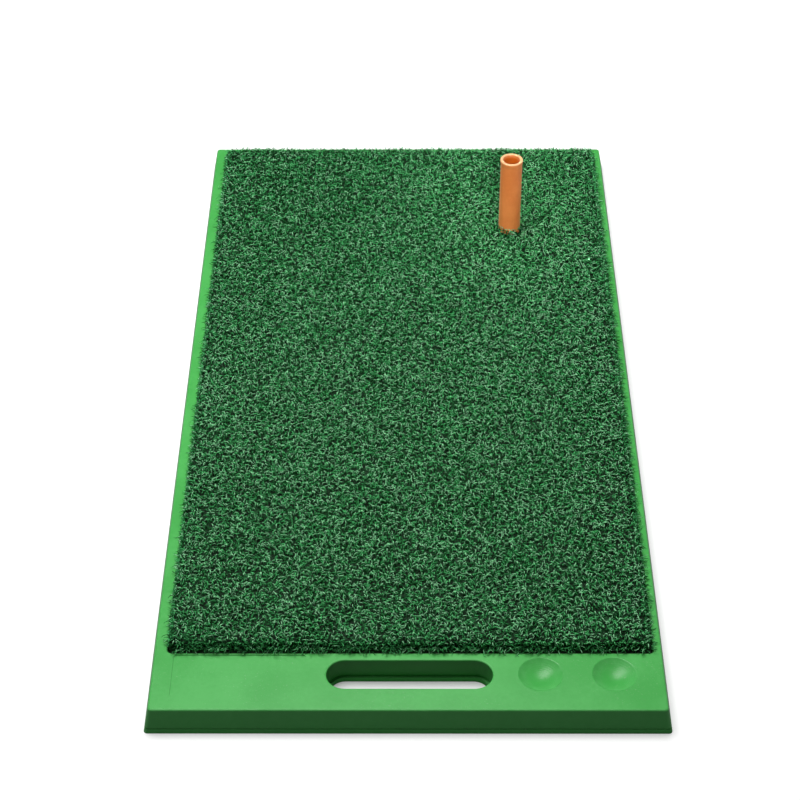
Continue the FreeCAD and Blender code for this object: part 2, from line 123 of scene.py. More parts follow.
class Nodes:
    """Places and links the nodes of one material, world or node group."""

    def __init__(self, tree: bpy.types.NodeTree) -> None:
        """Keeps the tree to work on.

        Args:
            tree: the node tree of a material, a world or a group.
        """
        self.tree = tree

    def add(self, kind: str, inputs: dict | None = None, **settings: object) -> bpy.types.Node:
        """Adds a node, sets its properties, and sets or links its inputs.

        Args:
            kind: the node's type name.
            inputs: for each input's name or number, a value or the socket to link.
            settings: the node's properties.

        Returns:
            The new node.
        """
        node = self.tree.nodes.new(kind)
        for name, value in settings.items():
            setattr(node, name, value)
        for key, value in (inputs or {}).items():
            if isinstance(value, Socket):
                self.tree.links.new(value, node.inputs[key])
            else:
                node.inputs[key].default_value = value
        return node

    def math(self, operation: str, first: object, second: object = 0.0) -> Socket:
        """Returns the result of one arithmetic step on two values or sockets."""
        return self.add("ShaderNodeMath", {0: first, 1: second}, operation=operation).outputs[0]

    def times(self, *factors: object) -> Socket:
        """Returns the product of values and sockets."""
        return reduce(partial(self.math, "MULTIPLY"), factors)

    def plus(self, *terms: object) -> Socket:
        """Returns the sum of values and sockets."""
        return reduce(partial(self.math, "ADD"), terms)

    def rest(self, share: object) -> Socket:
        """Returns what a share leaves of 1."""
        return self.math("SUBTRACT", 1.0, share)

    def step(self, value: object, low: float, high: float) -> Socket:
        """Returns a value that goes smoothly from 0 at low to 1 at high."""
        ends = {"Value": value, "From Min": low, "From Max": high}
        return self.add("ShaderNodeMapRange", ends, interpolation_type="SMOOTHSTEP").outputs["Result"]

    def blend(self, factor: object, first: object, second: object, way: str = "MIX") -> Socket:
        """Returns a colour mixed from two.

        Args:
            factor: the second colour's share.
            first: the first colour, as three numbers or a socket.
            second: the second colour, as three numbers or a socket.
            way: the blend type.

        Returns:
            The mixed colour's socket.
        """
        colours = [c if isinstance(c, Socket) else (*c, 1.0) for c in (first, second)]
        inputs = {0: factor, 6: colours[0], 7: colours[1]}
        return self.add("ShaderNodeMix", inputs, data_type="RGBA", blend_type=way).outputs[2]

    def noise(self, vector: object, scale: object, detail: float = 2.0) -> Socket:
        """Returns a smooth random value, from about 0.3 to 0.7, of features about 1 / scale metres wide."""
        return self.add("ShaderNodeTexNoise", {"Vector": vector, "Scale": scale, "Detail": detail}).outputs[0]

    def parts(self, vector: object) -> tuple[Socket, ...]:
        """Returns the X, Y and Z sockets of a vector."""
        return tuple(self.add("ShaderNodeSeparateXYZ", {0: vector}).outputs)

    def level(self, normal: object) -> Socket:
        """Returns 1 where a face is level and 0 where it is upright."""
        return self.math("ABSOLUTE", self.parts(normal)[2])

    def moved(self, vector: object, place: tuple = (0.0, 0.0, 0.0), scale: tuple = (1.0, 1.0, 1.0)) -> Socket:
        """Returns a vector scaled, then moved by the place."""
        inputs = {"Vector": vector, "Location": place, "Scale": scale}
        return self.add("ShaderNodeMapping", inputs).outputs[0]


class Effects:
    """Builds each shared effect once, as a node group for the materials that use it."""

    def __init__(self) -> None:
        """Builds the four node groups."""
        facing = ("Vector", "Normal")
        self.groups = {
            Effect.SKIN: self._group(Effect.SKIN, self._skin, ("Vector",), ("Grain Scale", "Flow Scale")),
            Effect.WEAR_AND_HIGHLIGHT: self._group(Effect.WEAR_AND_HIGHLIGHT, self._wear_and_highlight, facing, ("Break Up",)),
            Effect.DUST: self._group(Effect.DUST, self._dust, facing, ("Amount",)),
            Effect.WEAVE: self._group(Effect.WEAVE, self._weave, ("Vector",), ("Tapes per Metre",)),
        }

    @staticmethod
    def _group(effect: Effect, recipe: Callable, vectors: tuple, values: tuple) -> bpy.types.NodeTree:
        """Makes one effect's group.

        Args:
            effect: the effect.
            recipe: makes the outputs, by name, from the group's nodes and its inputs, by name.
            vectors: the names of its vector inputs.
            values: the names of its number inputs.

        Returns:
            The group.
        """
        tree = bpy.data.node_groups.new(effect.value, "ShaderNodeTree")
        for name in vectors + values:
            kind = "NodeSocketVector" if name in vectors else "NodeSocketFloat"
            tree.interface.new_socket(name=name, in_out="INPUT", socket_type=kind)
        nodes = Nodes(tree)
        made = recipe(nodes, nodes.add("NodeGroupInput").outputs)
        for name in made:
            tree.interface.new_socket(name=name, in_out="OUTPUT", socket_type="NodeSocketFloat")
        nodes.add("NodeGroupOutput", made)
        return tree

    @staticmethod
    def _skin(nodes: Nodes, given: Sockets) -> dict[str, Socket]:
        """The fine grain of a mould with pores in it, and the slow clouds of rubber that flowed there.

        Args:
            nodes: the group's nodes.
            given: the group's inputs.

        Returns:
            Height and Tone.
        """
        place, scale = given["Vector"], given["Grain Scale"]
        grain = nodes.noise(place, scale, 3.0)
        pores = nodes.noise(place, nodes.times(scale, 0.23))
        flow = nodes.noise(place, given["Flow Scale"], 4.0)
        tone = nodes.plus(nodes.times(flow, 0.75), nodes.times(pores, 0.25))
        return {"Height": nodes.plus(grain, nodes.times(pores, 0.8)), "Tone": nodes.step(tone, 0.32, 0.68)}

    @staticmethod
    def _wear_and_highlight(nodes: Nodes, given: Sockets) -> dict[str, Socket]:
        """Rounded upper edges, found by a normal between level and upright, broken up by noise: they are
        painted paler, partly as wear and partly as a painted highlight.

        Args:
            nodes: the group's nodes.
            given: the group's inputs.

        Returns:
            Mask.
        """
        level = nodes.level(given["Normal"])
        edge = nodes.times(nodes.step(level, 0.10, 0.42), nodes.rest(nodes.step(level, 0.86, 0.985)))
        rubbed_and_highlit = nodes.step(nodes.noise(given["Vector"], 180.0, 3.0), 0.30, 0.62)
        return {"Mask": nodes.times(edge, nodes.rest(nodes.times(rubbed_and_highlit, given["Break Up"])))}

    @staticmethod
    def _dust(nodes: Nodes, given: Sockets) -> dict[str, Socket]:
        """Fine specks, in patches, that settle on faces that look up.

        Args:
            nodes: the group's nodes.
            given: the group's inputs.

        Returns:
            Mask.
        """
        upward = nodes.step(nodes.parts(given["Normal"])[2], 0.55, 0.97)
        specks = nodes.step(nodes.noise(given["Vector"], 1100.0), 0.63, 0.74)
        patches = nodes.step(nodes.noise(given["Vector"], 22.0), 0.35, 0.70)
        return {"Mask": nodes.times(upward, specks, patches, given["Amount"])}

    @staticmethod
    def _weave(nodes: Nodes, given: Sockets) -> dict[str, Socket]:
        """A plain weave of flat tapes: each crossing shows the arch of the warp or of the weft in turn.

        Args:
            nodes: the group's nodes.
            given: the group's inputs.

        Returns:
            Height and Tone.
        """
        sides = [nodes.times(along, given["Tapes per Metre"]) for along in nodes.parts(given["Vector"])[:2]]
        turn = nodes.plus(*(nodes.math("FLOOR", side) for side in sides))
        weft = nodes.math("MODULO", nodes.math("ABSOLUTE", turn), 2.0)
        arches = [nodes.math("ABSOLUTE", nodes.math("SINE", nodes.times(side, math.pi))) for side in sides]
        warp_arch = nodes.times(arches[0], nodes.rest(weft))
        return {"Height": nodes.plus(warp_arch, nodes.times(arches[1], weft)), "Tone": weft}


class Coat(Nodes):
    """The nodes of one material, with the object's own coordinates and normal, and the shared effects."""

    def __init__(self, name: str, effects: Effects, grain: float, flow: float) -> None:
        """Makes an empty material, and the height and the tone of the skin that every finish has.

        Args:
            name: the material's name.
            effects: the shared node groups.
            grain: the number of grains per metre.
            flow: the number of flow clouds per metre.
        """
        self.material = bpy.data.materials.new(name)
        self.material.use_nodes = True
        super().__init__(self.material.node_tree)
        self.tree.nodes.clear()
        self.effects = effects
        spots = self.add("ShaderNodeTexCoord").outputs
        self.place, self.normal = spots["Object"], spots["Normal"]
        skin = self.effect(Effect.SKIN, {"Grain Scale": grain, "Flow Scale": flow})
        self.skin, self.tone = skin["Height"], skin["Tone"]

    def effect(self, effect: Effect, inputs: dict) -> Sockets:
        """Returns the outputs of a shared effect on the object's coordinates, with its other inputs."""
        inputs = {"Vector": self.place, **inputs}
        return self.add("ShaderNodeGroup", inputs, node_tree=self.effects.groups[effect]).outputs

    def worn_and_highlit(self, colour: Socket, rubbed_and_highlit: Colour, share: float, break_up: float) -> Socket:
        """Returns a colour with its share of the paler one along the edges, broken up by noise: wear and a
        painted highlight.
        """
        mask = self.effect(Effect.WEAR_AND_HIGHLIGHT, {"Normal": self.normal, "Break Up": break_up})["Mask"]
        return self.blend(self.times(mask, share), colour, rubbed_and_highlit)


@dataclass(frozen=True)
class Finish:
    """What every finish has.

    It has a name, two base colours, a roughness and a gloss; how many grains and flow clouds its skin has to
    the metre, and the depth of its relief in metres; the amount and the colour of its dust; and further
    constants for the shader's own sockets.
    """

    name: str
    dark: Colour
    light: Colour
    roughness: float
    specular: float = 0.5
    grain: float = 1500.0
    flow: float = 26.0
    depth: float = 0.00006
    dust: float = 0.0
    dust_colour: Colour = (0.45, 0.55, 0.42)
    constants: tuple[tuple[str, object], ...] = ()

    def material(self, effects: Effects) -> bpy.types.Material:
        """Makes the material: what the kind of finish paints, under its dust.

        Args:
            effects: the shared node groups.

        Returns:
            The material.
        """
        coat = Coat(self.name, effects, self.grain, self.flow)
        colour, rough, height = self.paint(coat)
        if self.dust:
            mask = coat.effect(Effect.DUST, {"Normal": coat.normal, "Amount": self.dust})["Mask"]
            colour = coat.blend(mask, colour, self.dust_colour)
        normal = coat.add("ShaderNodeBump", {"Height": height, "Strength": 1.0, "Distance": self.depth})
        inputs = {"Base Color": colour, "Roughness": rough, "Normal": normal.outputs[0]}
        inputs |= {"Specular IOR Level": self.specular, **dict(self.constants)}
        shader = coat.add("ShaderNodeBsdfPrincipled", inputs)
        coat.add("ShaderNodeOutputMaterial", {"Surface": shader.outputs[0]})
        return coat.material

    def paint(self, coat: Coat) -> tuple[Socket, Socket, Socket]:
        """Paints one kind of finish.

        Args:
            coat: the material's nodes.

        Returns:
            The colour, the roughness and the height of the relief.
        """
        raise NotImplementedError


@dataclass(frozen=True, kw_only=True)
class RubberFinish(Finish):
    """Moulded rubber: mould grain, slow clouds of tone, upright faces in a colour of their own that is
    painted shading (painted shade on the tray, painted light on the sole), and paler edges that are partly
    wear and partly a painted highlight.

    A ball-nosed cutter leaves fine rings in each cup: a sine of the distance from the cup's axis, faded out
    at its rim.
    """

    # Colour of the rounded edges: wear and a painted highlight.
    rubbed_and_highlit: Colour
    # Colour of the upright faces: painted shade on the tray (darker), painted light on the sole (lighter).
    painted_wall_shading: Colour
    wall_shading_steps: Pair = (0.10, 0.60)
    wall_shading_share: float = 0.8
    wall_rough: float = 0.12
    cloud_rough: float = 0.10
    wear_and_highlight_share: float = 0.45
    break_up: float = 0.5
    dust: float = 0.25
    ring_centres: tuple[Pair, ...] = ()
    ring_reach: float = 0.014
    ring_fade: float = 0.8
    ring_pitch: float = 0.0013
    ring_height: float = 0.22

    def _ring(self, coat: Coat, x: float, y: float) -> Socket:
        """Makes the rings round one cup's axis.

        Args:
            coat: the material's nodes.
            x: the axis's X.
            y: the axis's Y.

        Returns:
            Their height.
        """
        centred = coat.moved(coat.place, (-x, -y, 0.0), (1.0, 1.0, 0.0))
        reach = coat.add("ShaderNodeVectorMath", {0: centred}, operation="LENGTH").outputs["Value"]
        wave = coat.math("SINE", coat.times(reach, 2 * math.pi / self.ring_pitch))
        outside = coat.step(reach, self.ring_fade * self.ring_reach, self.ring_reach)
        return coat.times(wave, coat.rest(outside))

    def paint(self, coat: Coat) -> tuple[Socket, Socket, Socket]:
        """Paints the rubber.

        Args:
            coat: the material's nodes.

        Returns:
            The colour, the roughness and the height.
        """
        # Upright faces take their own colour: painted shade on the tray, painted light on the sole.
        upright = coat.rest(coat.step(coat.level(coat.normal), *self.wall_shading_steps))
        colour = coat.blend(coat.tone, self.dark, self.light)
        colour = coat.blend(coat.times(upright, self.wall_shading_share), colour, self.painted_wall_shading)
        # Rounded edges painted paler: wear and a painted highlight.
        colour = coat.worn_and_highlit(colour, self.rubbed_and_highlit, self.wear_and_highlight_share, self.break_up)
        rough = coat.plus(self.roughness - self.cloud_rough / 2, coat.times(coat.tone, self.cloud_rough))
        rough = coat.plus(rough, coat.times(upright, self.wall_rough))
        height = coat.skin
        if self.ring_centres:
            rings = coat.plus(*(self._ring(coat, x, y) for x, y in self.ring_centres))
            height = coat.plus(height, coat.times(rings, self.ring_height))
        return colour, rough, height


@dataclass(frozen=True, kw_only=True)
class TeeFinish(Finish):
    """Soft orange rubber: a pale rolled lip, partly wear and partly a painted highlight, painted shade down
    the bore, and faint upright draw marks.
    """

    axis: Pair
    top: float
    bore_reach: float
    # Pale lip colour: partly wear, partly a painted highlight.
    lip: Colour = (0.86, 0.54, 0.27)
    lip_highlight_share: float = 0.85
    lip_highlight_steps: Pair = (-0.0010, -0.0002)
    # Deeper colour down the bore: painted shade.
    bore: Colour = (0.62, 0.14, 0.008)
    bore_shade_edge: Pair = (-0.0004, 0.0002)
    streaks: float = 700.0
    streak_stretch: float = 0.03
    streak_height: float = 1.5
    streak_rough: float = 0.12
    wear_and_highlight_share: float = 0.35
    break_up: float = 0.6
    grain: float = 1900.0
    flow: float = 60.0
    depth: float = 0.00005
    dust: float = 0.2
    dust_colour: Colour = (0.7, 0.6, 0.5)
    constants: tuple[tuple[str, object], ...] = (
        ("Sheen Weight", 0.30), ("Sheen Roughness", 0.30), ("Sheen Tint", (1.0, 0.80, 0.50, 1.0)),
    )

    def paint(self, coat: Coat) -> tuple[Socket, Socket, Socket]:
        """Paints the tee.

        Args:
            coat: the material's nodes.

        Returns:
            The colour, the roughness and the height.
        """
        centred = coat.moved(coat.place, (-self.axis[0], -self.axis[1], -self.top))
        x, y, drop = coat.parts(centred)
        reach = coat.math("SQRT", coat.plus(coat.times(x, x), coat.times(y, y)))
        # The mouth and the bore are painted a deeper colour: painted shade.
        bore_shade_mask = coat.rest(coat.step(reach, *(self.bore_reach + edge for edge in self.bore_shade_edge)))
        # The top of the lip is painted pale: partly wear, partly a painted highlight.
        rolled = coat.times(coat.step(drop, *self.lip_highlight_steps), coat.rest(bore_shade_mask))
        colour = coat.blend(bore_shade_mask, coat.blend(coat.tone, self.dark, self.light), self.bore)
        colour = coat.blend(coat.times(rolled, self.lip_highlight_share), colour, self.lip)
        # The tee's rounded edges take the pale lip colour: wear and a painted highlight.
        colour = coat.worn_and_highlit(colour, self.lip, self.wear_and_highlight_share, self.break_up)
        streaks = coat.noise(coat.moved(centred, scale=(1.0, 1.0, self.streak_stretch)), self.streaks)
        rough = coat.plus(self.roughness - 0.05, coat.times(streaks, self.streak_rough))
        return colour, rough, coat.plus(coat.skin, coat.times(streaks, self.streak_height))


@dataclass(frozen=True)
class FoamFinish(Finish):
    """Closed-cell foam: a skin of small round cells, dark where they meet."""

    cells: float = 900.0
    grain: float = 2400.0
    flow: float = 45.0
    depth: float = 0.0002
    dust: float = 0.3
    dust_colour: Colour = (0.2, 0.2, 0.2)

    def paint(self, coat: Coat) -> tuple[Socket, Socket, Socket]:
        """Paints the foam.

        Args:
            coat: the material's nodes.

        Returns:
            The colour, the roughness and the height.
        """
        inputs = {"Vector": coat.place, "Scale": self.cells}
        cell = coat.add("ShaderNodeTexVoronoi", inputs).outputs["Distance"]
        colour = coat.blend(coat.step(cell, 0.1, 0.7), self.light, self.dark)
        colour = coat.blend(coat.times(coat.tone, 0.4), colour, self.light)
        return colour, coat.plus(self.roughness, coat.times(coat.tone, 0.08)), coat.times(cell, -1.0)


@dataclass(frozen=True)
class ClothFinish(Finish):
    """Woven tapes, bare as the primary backing or seen through the latex that coats it."""

    tapes: float = 480.0
    latex: float = 0.0
    grain: float = 1300.0
    flow: float = 70.0
    depth: float = 0.00018

    def paint(self, coat: Coat) -> tuple[Socket, Socket, Socket]:
        """Paints the cloth.

        Args:
            coat: the material's nodes.

        Returns:
            The colour, the roughness and the height.
        """
        weave = coat.effect(Effect.WEAVE, {"Tapes per Metre": self.tapes})
        colour = coat.blend(weave["Tone"], self.dark, self.light)
        colour = coat.blend(coat.times(coat.tone, 0.5), colour, self.light)
        rough = coat.plus(self.roughness - 0.06, coat.times(weave["Height"], 0.12))
        tapes = coat.times(weave["Height"], 1.0 - self.latex)
        return colour, rough, coat.plus(tapes, coat.times(coat.skin, 0.2 + self.latex))


@dataclass(frozen=True)
class ThatchFinish(Finish):
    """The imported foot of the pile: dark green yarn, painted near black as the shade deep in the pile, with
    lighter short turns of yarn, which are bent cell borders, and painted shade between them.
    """

    turns: float = 620.0
    swirls: float = 260.0
    bend: float = 0.003
    grain: float = 2200.0
    flow: float = 90.0
    depth: float = 0.0005

    def paint(self, coat: Coat) -> tuple[Socket, Socket, Socket]:
        """Paints the thatch.

        Args:
            coat: the material's nodes.

        Returns:
            The colour, the roughness and the height.
        """
        swirl = coat.add("ShaderNodeTexNoise", {"Vector": coat.place, "Scale": self.swirls, "Detail": 2.0})
        inputs = {0: swirl.outputs["Color"], 1: [self.bend] * 3, 2: coat.place}
        bent = coat.add("ShaderNodeVectorMath", inputs, operation="MULTIPLY_ADD").outputs[0]
        inputs = {"Vector": bent, "Scale": self.turns}
        cell = coat.add("ShaderNodeTexVoronoi", inputs, feature="DISTANCE_TO_EDGE").outputs["Distance"]
        yarn = coat.rest(coat.step(cell, 0.02, 0.22))
        # Painted shade between the turns of yarn; the turns are lighter.
        colour = coat.blend(coat.times(yarn, coat.tone), self.dark, self.light)
        return colour, coat.math("SUBTRACT", self.roughness, coat.times(yarn, 0.15)), yarn


@dataclass(frozen=True)
class YarnFinish(Finish):
    """Curled synthetic yarn: each end has its own green, partly painted shade for deep ends and far ends, and
    its palest green is a painted highlight; it has painted shade towards its root, and painted glints and
    shade in bands along its length. It reads two attributes that each end carries, tone and rise."""

    # Pale green for the lightest ends: a painted highlight.
    pale: Colour = (0.40, 0.93, 0.50)
    light_steps: Pair = (0.0, 0.75)
    highlight_steps: Pair = (0.74, 0.96)
    # Share of colour left at the root: painted shade towards the root.
    root_shade_share: float = 0.04
    # Painted glints and shade in bands along each end, standing for its facets catching light.
    crimp_glint: float = 950.0
    glint_steps: Pair = (0.38, 0.48)
    crimp_shade: float = 0.14
    grain: float = 3200.0
    flow: float = 140.0
    depth: float = 0.00004

    def paint(self, coat: Coat) -> tuple[Socket, Socket, Socket]:
        """Paints the yarn.

        Args:
            coat: the material's nodes.

        Returns:
            The colour, the roughness and the height.
        """
        green, rise = (
            coat.add("ShaderNodeAttribute", attribute_name=name).outputs["Fac"] for name in ("tone", "rise")
        )
        colour = coat.blend(coat.step(green, *self.light_steps), self.dark, self.light)
        # The palest ends take the pale green: a painted highlight.
        colour = coat.blend(coat.step(green, *self.highlight_steps), colour, self.pale)
        # Painted glints: bands along each end, lighter where the noise is high.
        crimp_glint = coat.step(coat.noise(coat.place, self.crimp_glint, 1.0), *self.glint_steps)
        # Painted shade: darker towards the root, and painted glints and shade in bands along the length.
        shade = coat.times(
            coat.plus(self.root_shade_share, coat.times(rise, 1.0 - self.root_shade_share)),
            coat.plus(self.crimp_shade, coat.times(crimp_glint, 1.0 - self.crimp_shade)),
        )
        grey = coat.add("ShaderNodeCombineColor", {0: shade, 1: shade, 2: shade}).outputs[0]
        rough = coat.plus(self.roughness - 0.06, coat.times(coat.tone, 0.12))
        return coat.blend(1.0, colour, grey, "MULTIPLY"), rough, coat.skin


# ---------------------------------------------------------------- surfaces


def closed_faces(rows: int, columns: int) -> np.ndarray:
    """Quads of a grid that closes both ways, like a ring whose section is a loop.

    Point (r, c) is numbered r * columns + c. Columns run anticlockwise seen from above and rows run
    anticlockwise round the section, outwards along the bottom, so every face looks out.

    Args:
        rows: how many points are round the section.
        columns: how many points are round the ring.

    Returns:
        The corner numbers, one row of four for each quad.
    """
    row, column = np.arange(rows)[:, None], np.arange(columns)[None, :]
    below, above = row * columns, ((row + 1) % rows) * columns
    nearer, further = column, (column + 1) % columns
    return np.stack([below + nearer, below + further, above + further, above + nearer], -1).reshape(-1, 4)


def new_piece(name: str, points: np.ndarray, faces: np.ndarray, crease: float = 40.0) -> bpy.types.Object:
    """Makes an object at the origin from points in metres and faces that all have as many corners.

    Args:
        name: the piece's name.
        points: one row of three for each vertex.
        faces: one row of corner numbers for each face.
        crease: the angle in degrees past which an edge stays sharp.

    Returns:
        The object, smooth shaded.
    """
    mesh = bpy.data.meshes.new(name)
    mesh.vertices.add(len(points))
    mesh.vertices.foreach_set("co", points.astype(np.float32).ravel())
    mesh.loops.add(faces.size)
    mesh.loops.foreach_set("vertex_index", faces.astype(np.int32).ravel())
    mesh.polygons.add(len(faces))
    mesh.polygons.foreach_set("loop_start", np.arange(0, faces.size, faces.shape[1], dtype=np.int32))
    mesh.update(calc_edges=True)
    mesh.shade_smooth()
    if crease < 180.0:
        mesh.set_sharp_from_angle(angle=math.radians(crease))
    piece = bpy.data.objects.new(name, mesh)
    bpy.context.scene.collection.objects.link(piece)
    return piece


def dress(piece: bpy.types.Object, material: bpy.types.Material, slot: str, body: Body | None = None) -> None:
    """Gives a piece its material and the body that it rides on.

    Args:
        piece: the object.
        material: its material.
        slot: the record's slot; not used.
        body: the body to ride on, or None for a CAD node, which rides already.
    """
    piece.data.materials.clear()
    piece.data.materials.append(material)
    if body:
        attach(piece, body.value)
    corners = len(piece.data.loops)
    LOG.info("%s: %d vertices, %d corners, %s", piece.name, len(piece.data.vertices), corners, material.name)


def relief(places: np.ndarray, wave: float, seed: int) -> np.ndarray:
    """A smooth random height from about -1 to 1: the mean of sine waves of nearly one length, each with a
    direction and a phase of its own.

    Args:
        places: X and Y of each point, in metres.
        wave: the usual wavelength, in metres.
        seed: the random seed.

    Returns:
        One height for each point.
    """
    count = 14
    draw = np.random.default_rng(seed)
    angle, phase = draw.uniform(0, 2 * np.pi, count), draw.uniform(0, 2 * np.pi, count)
    number = 2 * np.pi / (wave * draw.uniform(0.7, 1.5, count))
    ways = np.stack([np.cos(angle), np.sin(angle)]) * number
    return np.sin(places @ ways + phase).sum(-1) * (2.0 / count) ** 0.5 * 0.7


@dataclass(frozen=True)
class Layer:
    """A flat layer with a round hole for the tee: its box in metres, its corners' radius, and the hole's axis
    and radius."""

    low: Vector
    high: Vector
    corner: float
    axis: Pair
    hole: float

    def outline(self, spacing: float) -> tuple[np.ndarray, np.ndarray]:
        """The rounded rectangle round the layer, anticlockwise: each corner is a quarter circle, and each
        side is divided evenly.

        Args:
            spacing: the usual distance between points.

        Returns:
            The points' X and Y, and the outward direction at each.
        """
        points, ways = [], []
        low, high = np.array(self.low.xy), np.array(self.high.xy)
        middle, half = (low + high) / 2, (high - low) / 2 - self.corner
        for quarter, (sx, sy) in enumerate(((1, 1), (-1, 1), (-1, -1), (1, -1))):
            turn = np.radians(np.linspace(0, 90, 6)) + quarter * np.pi / 2
            way = np.stack([np.cos(turn), np.sin(turn)], -1)
            arc = middle + half * (sx, sy) + self.corner * way
            run = 2 * half[quarter % 2]
            steps = max(int(run / spacing), 2)
            leg = np.array([-way[-1][1], way[-1][0]]) * run
            side = arc[-1] + np.linspace(0, 1, steps + 1)[1:-1, None] * leg
            points += [arc, side]
            ways += [way, np.repeat(way[-1:], len(side), 0)]
        return np.concatenate(points), np.concatenate(ways)

    def loft(self, section: np.ndarray, spacing: float) -> tuple[np.ndarray, np.ndarray]:
        """Carries a section round the layer, from the hole to the outline.

        A section point has a share, 0 at the hole's wall and 1 at the outline, an amount by which it stands
        proud there, and a height. A column lies on the straight line from the hole's axis to the outline's
        point, so the columns never cross.

        Args:
            section: rows of share, proud distance and height, anticlockwise.
            spacing: the usual distance between columns at the outline.

        Returns:
            The points as (rows, columns, 3), and the quads.
        """
        outer, way = self.outline(spacing)
        axis = np.array(self.axis)
        ray = (outer - axis) / np.linalg.norm(outer - axis, axis=1, keepdims=True)
        inner = axis + self.hole * ray
        share, proud, height = (section[:, k, None, None] for k in range(3))
        flat = inner + share * (outer - inner) + proud * (share * way - (1 - share) * ray)
        level = np.broadcast_to(height, (*flat.shape[:2], 1))
        return np.concatenate([flat, level], -1), closed_faces(*flat.shape[:2])


def layer_section(low: float, high: float, rows: int, bulge: float) -> np.ndarray:
    """The section of a layer: level below and above, with edges that follow half a superellipse, where the
    distance proud is the bulge times a power of the cosine and the height goes with that power of the sine.

    Args:
        low: the underside's height.
        high: the top's height.
        rows: how many points cross the top, and the bottom.
        bulge: how far the edges stand proud, in metres.

    Returns:
        Rows of share, proud distance and height, anticlockwise.
    """
    power = 0.4
    across = np.linspace(0, 1, rows)
    turn = np.radians(np.linspace(-90, 90, 9)[1:-1])
    rise = (low + high) / 2 + (high - low) / 2 * np.sign(np.sin(turn)) * np.abs(np.sin(turn)) ** power
    swell = bulge * np.cos(turn) ** power
    bottom = np.stack([across, 0 * across, 0 * across + low], -1)
    outer = np.stack([0 * turn + 1, swell, rise], -1)
    top = np.stack([across[::-1], 0 * across, 0 * across + high], -1)
    inner = np.stack([0 * turn, swell, rise[::-1]], -1)
    return np.concatenate([bottom, outer, top, inner])


# ---------------------------------------------------------------- sub-assemblies


@dataclass
class Base:
    """The moulded tray and the sole under it, both shown as their CAD solids."""

    tray: bpy.types.Object
    sole: bpy.types.Object
    cup_centres: tuple[Pair, ...] = ((0.0836, -0.284), (0.1301, -0.284))

    def finish(self, effects: Effects) -> None:
        """Dresses the two solids.

        Args:
            effects: the shared node groups.
        """
        # Tray: upright faces painted darker as painted shade; rounded edges painted paler as wear and painted
        # highlight.
        tray = RubberFinish(
            name="tray_green_rubber", dark=(0.056, 0.375, 0.070), light=(0.074, 0.430, 0.090),
            roughness=0.33, specular=0.23, rubbed_and_highlit=(0.13, 0.50, 0.15), painted_wall_shading=(0.022, 0.200, 0.032),
            ring_centres=self.cup_centres,
        )
        # Sole: upright faces painted lighter than its body as painted light; rounded edges painted paler as
        # wear and painted highlight.
        sole = RubberFinish(
            name="sole_green_rubber", dark=(0.030, 0.240, 0.042), light=(0.040, 0.290, 0.052),
            roughness=0.62, rubbed_and_highlit=(0.05, 0.30, 0.06), painted_wall_shading=(0.040, 0.330, 0.055), depth=0.0001, dust=0.4,
        )
        dress(self.tray, tray.material(effects), "tray_rubber")
        dress(self.sole, sole.material(effects), "sole_rubber")


@dataclass
class Underlay:
    """The foam pad, the latex coat and the woven backing that lie on each other under the pile."""

    axis: Pair
    hole: float
    corner: float = 0.002
    spacing: float = 0.009
    rows: int = 32
    wave: float = 0.03

    def _layer(self, name: str, node: str, bulge: float, sway: float, seed: int) -> bpy.types.Object:
        """Builds one layer in the place of its CAD node.

        Args:
            name: the piece's name.
            node: the CAD node that it stands for.
            bulge: how far its edges stand proud.
            sway: how far its top waves up and down.
            seed: the random seed of the wave.

        Returns:
            The piece.
        """
        low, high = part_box(node)
        shape = Layer(low, high, self.corner, self.axis, self.hole)
        points, faces = shape.loft(layer_section(low.z, high.z, self.rows, bulge), self.spacing)
        upper = (points[..., 2] > (low.z + high.z) / 2) * sway
        points[..., 2] += upper * (relief(points[..., :2], self.wave, seed) - 1.0)
        piece = new_piece(name, points.reshape(-1, 3), faces)
        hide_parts(node)
        return piece

    def build(self, effects: Effects) -> None:
        """Args:
            effects: the shared node groups.
        """
        below = self._layer("foam_pad", "shock_pad", 0.0004, 0.00012, 11)
        foam = FoamFinish("black_foam", (0.008, 0.008, 0.008), (0.035, 0.036, 0.036), 0.82)
        dress(below, foam.material(effects), "pad_foam", Body.MAT)
        latex = ClothFinish("dark_latex", (0.012, 0.030, 0.014), (0.030, 0.055, 0.032), 0.60, latex=0.6)
        tapes = ClothFinish("woven_tapes", (0.010, 0.040, 0.014), (0.030, 0.085, 0.035), 0.66)
        for name, node, finish, seed in (
            ("latex_coat", "turf_latex_coat", latex, 12),
            ("woven_backing", "turf_primary_backing", tapes, 13),
        ):
            sheet = self._layer(name, node, 0.0001, 0.00005, seed)
            dress(sheet, finish.material(effects), name, Body.MAT)
            below = sheet


@dataclass
class Curls:
    """Ends of curled yarn: each is a closed three-sided tube that climbs from its root, bends over and turns.

    Its centre line has three steps, the first the longest. Each goes its share of the length in the
    direction (cos h cos c, sin h cos c, sin c), where the heading h grows evenly by the end's turn, and the
    climb c falls.
    """

    STEPS: ClassVar[np.ndarray] = np.array([0.44, 0.29, 0.27])
    TURNED: ClassVar[np.ndarray] = np.array([0.2, 0.5, 0.8])

    roots: np.ndarray
    heading: np.ndarray
    climb: np.ndarray
    turn: np.ndarray
    length: np.ndarray
    radius: np.ndarray
    tone: np.ndarray

    def centre_lines(self) -> np.ndarray:
        """Returns the four points of each end's centre line, as (ends, 4, 3)."""
        h, c = self.heading[:, None] + self.turn[:, None] * self.TURNED, self.climb
        steps = np.stack([np.cos(h) * np.cos(c), np.sin(h) * np.cos(c), np.sin(c)], -1)
        steps *= self.length[:, None, None] * self.STEPS[:, None]
        walk = np.cumsum(steps, 1)
        return self.roots[:, None, :] + np.concatenate([np.zeros_like(walk[:, :1]), walk], 1)


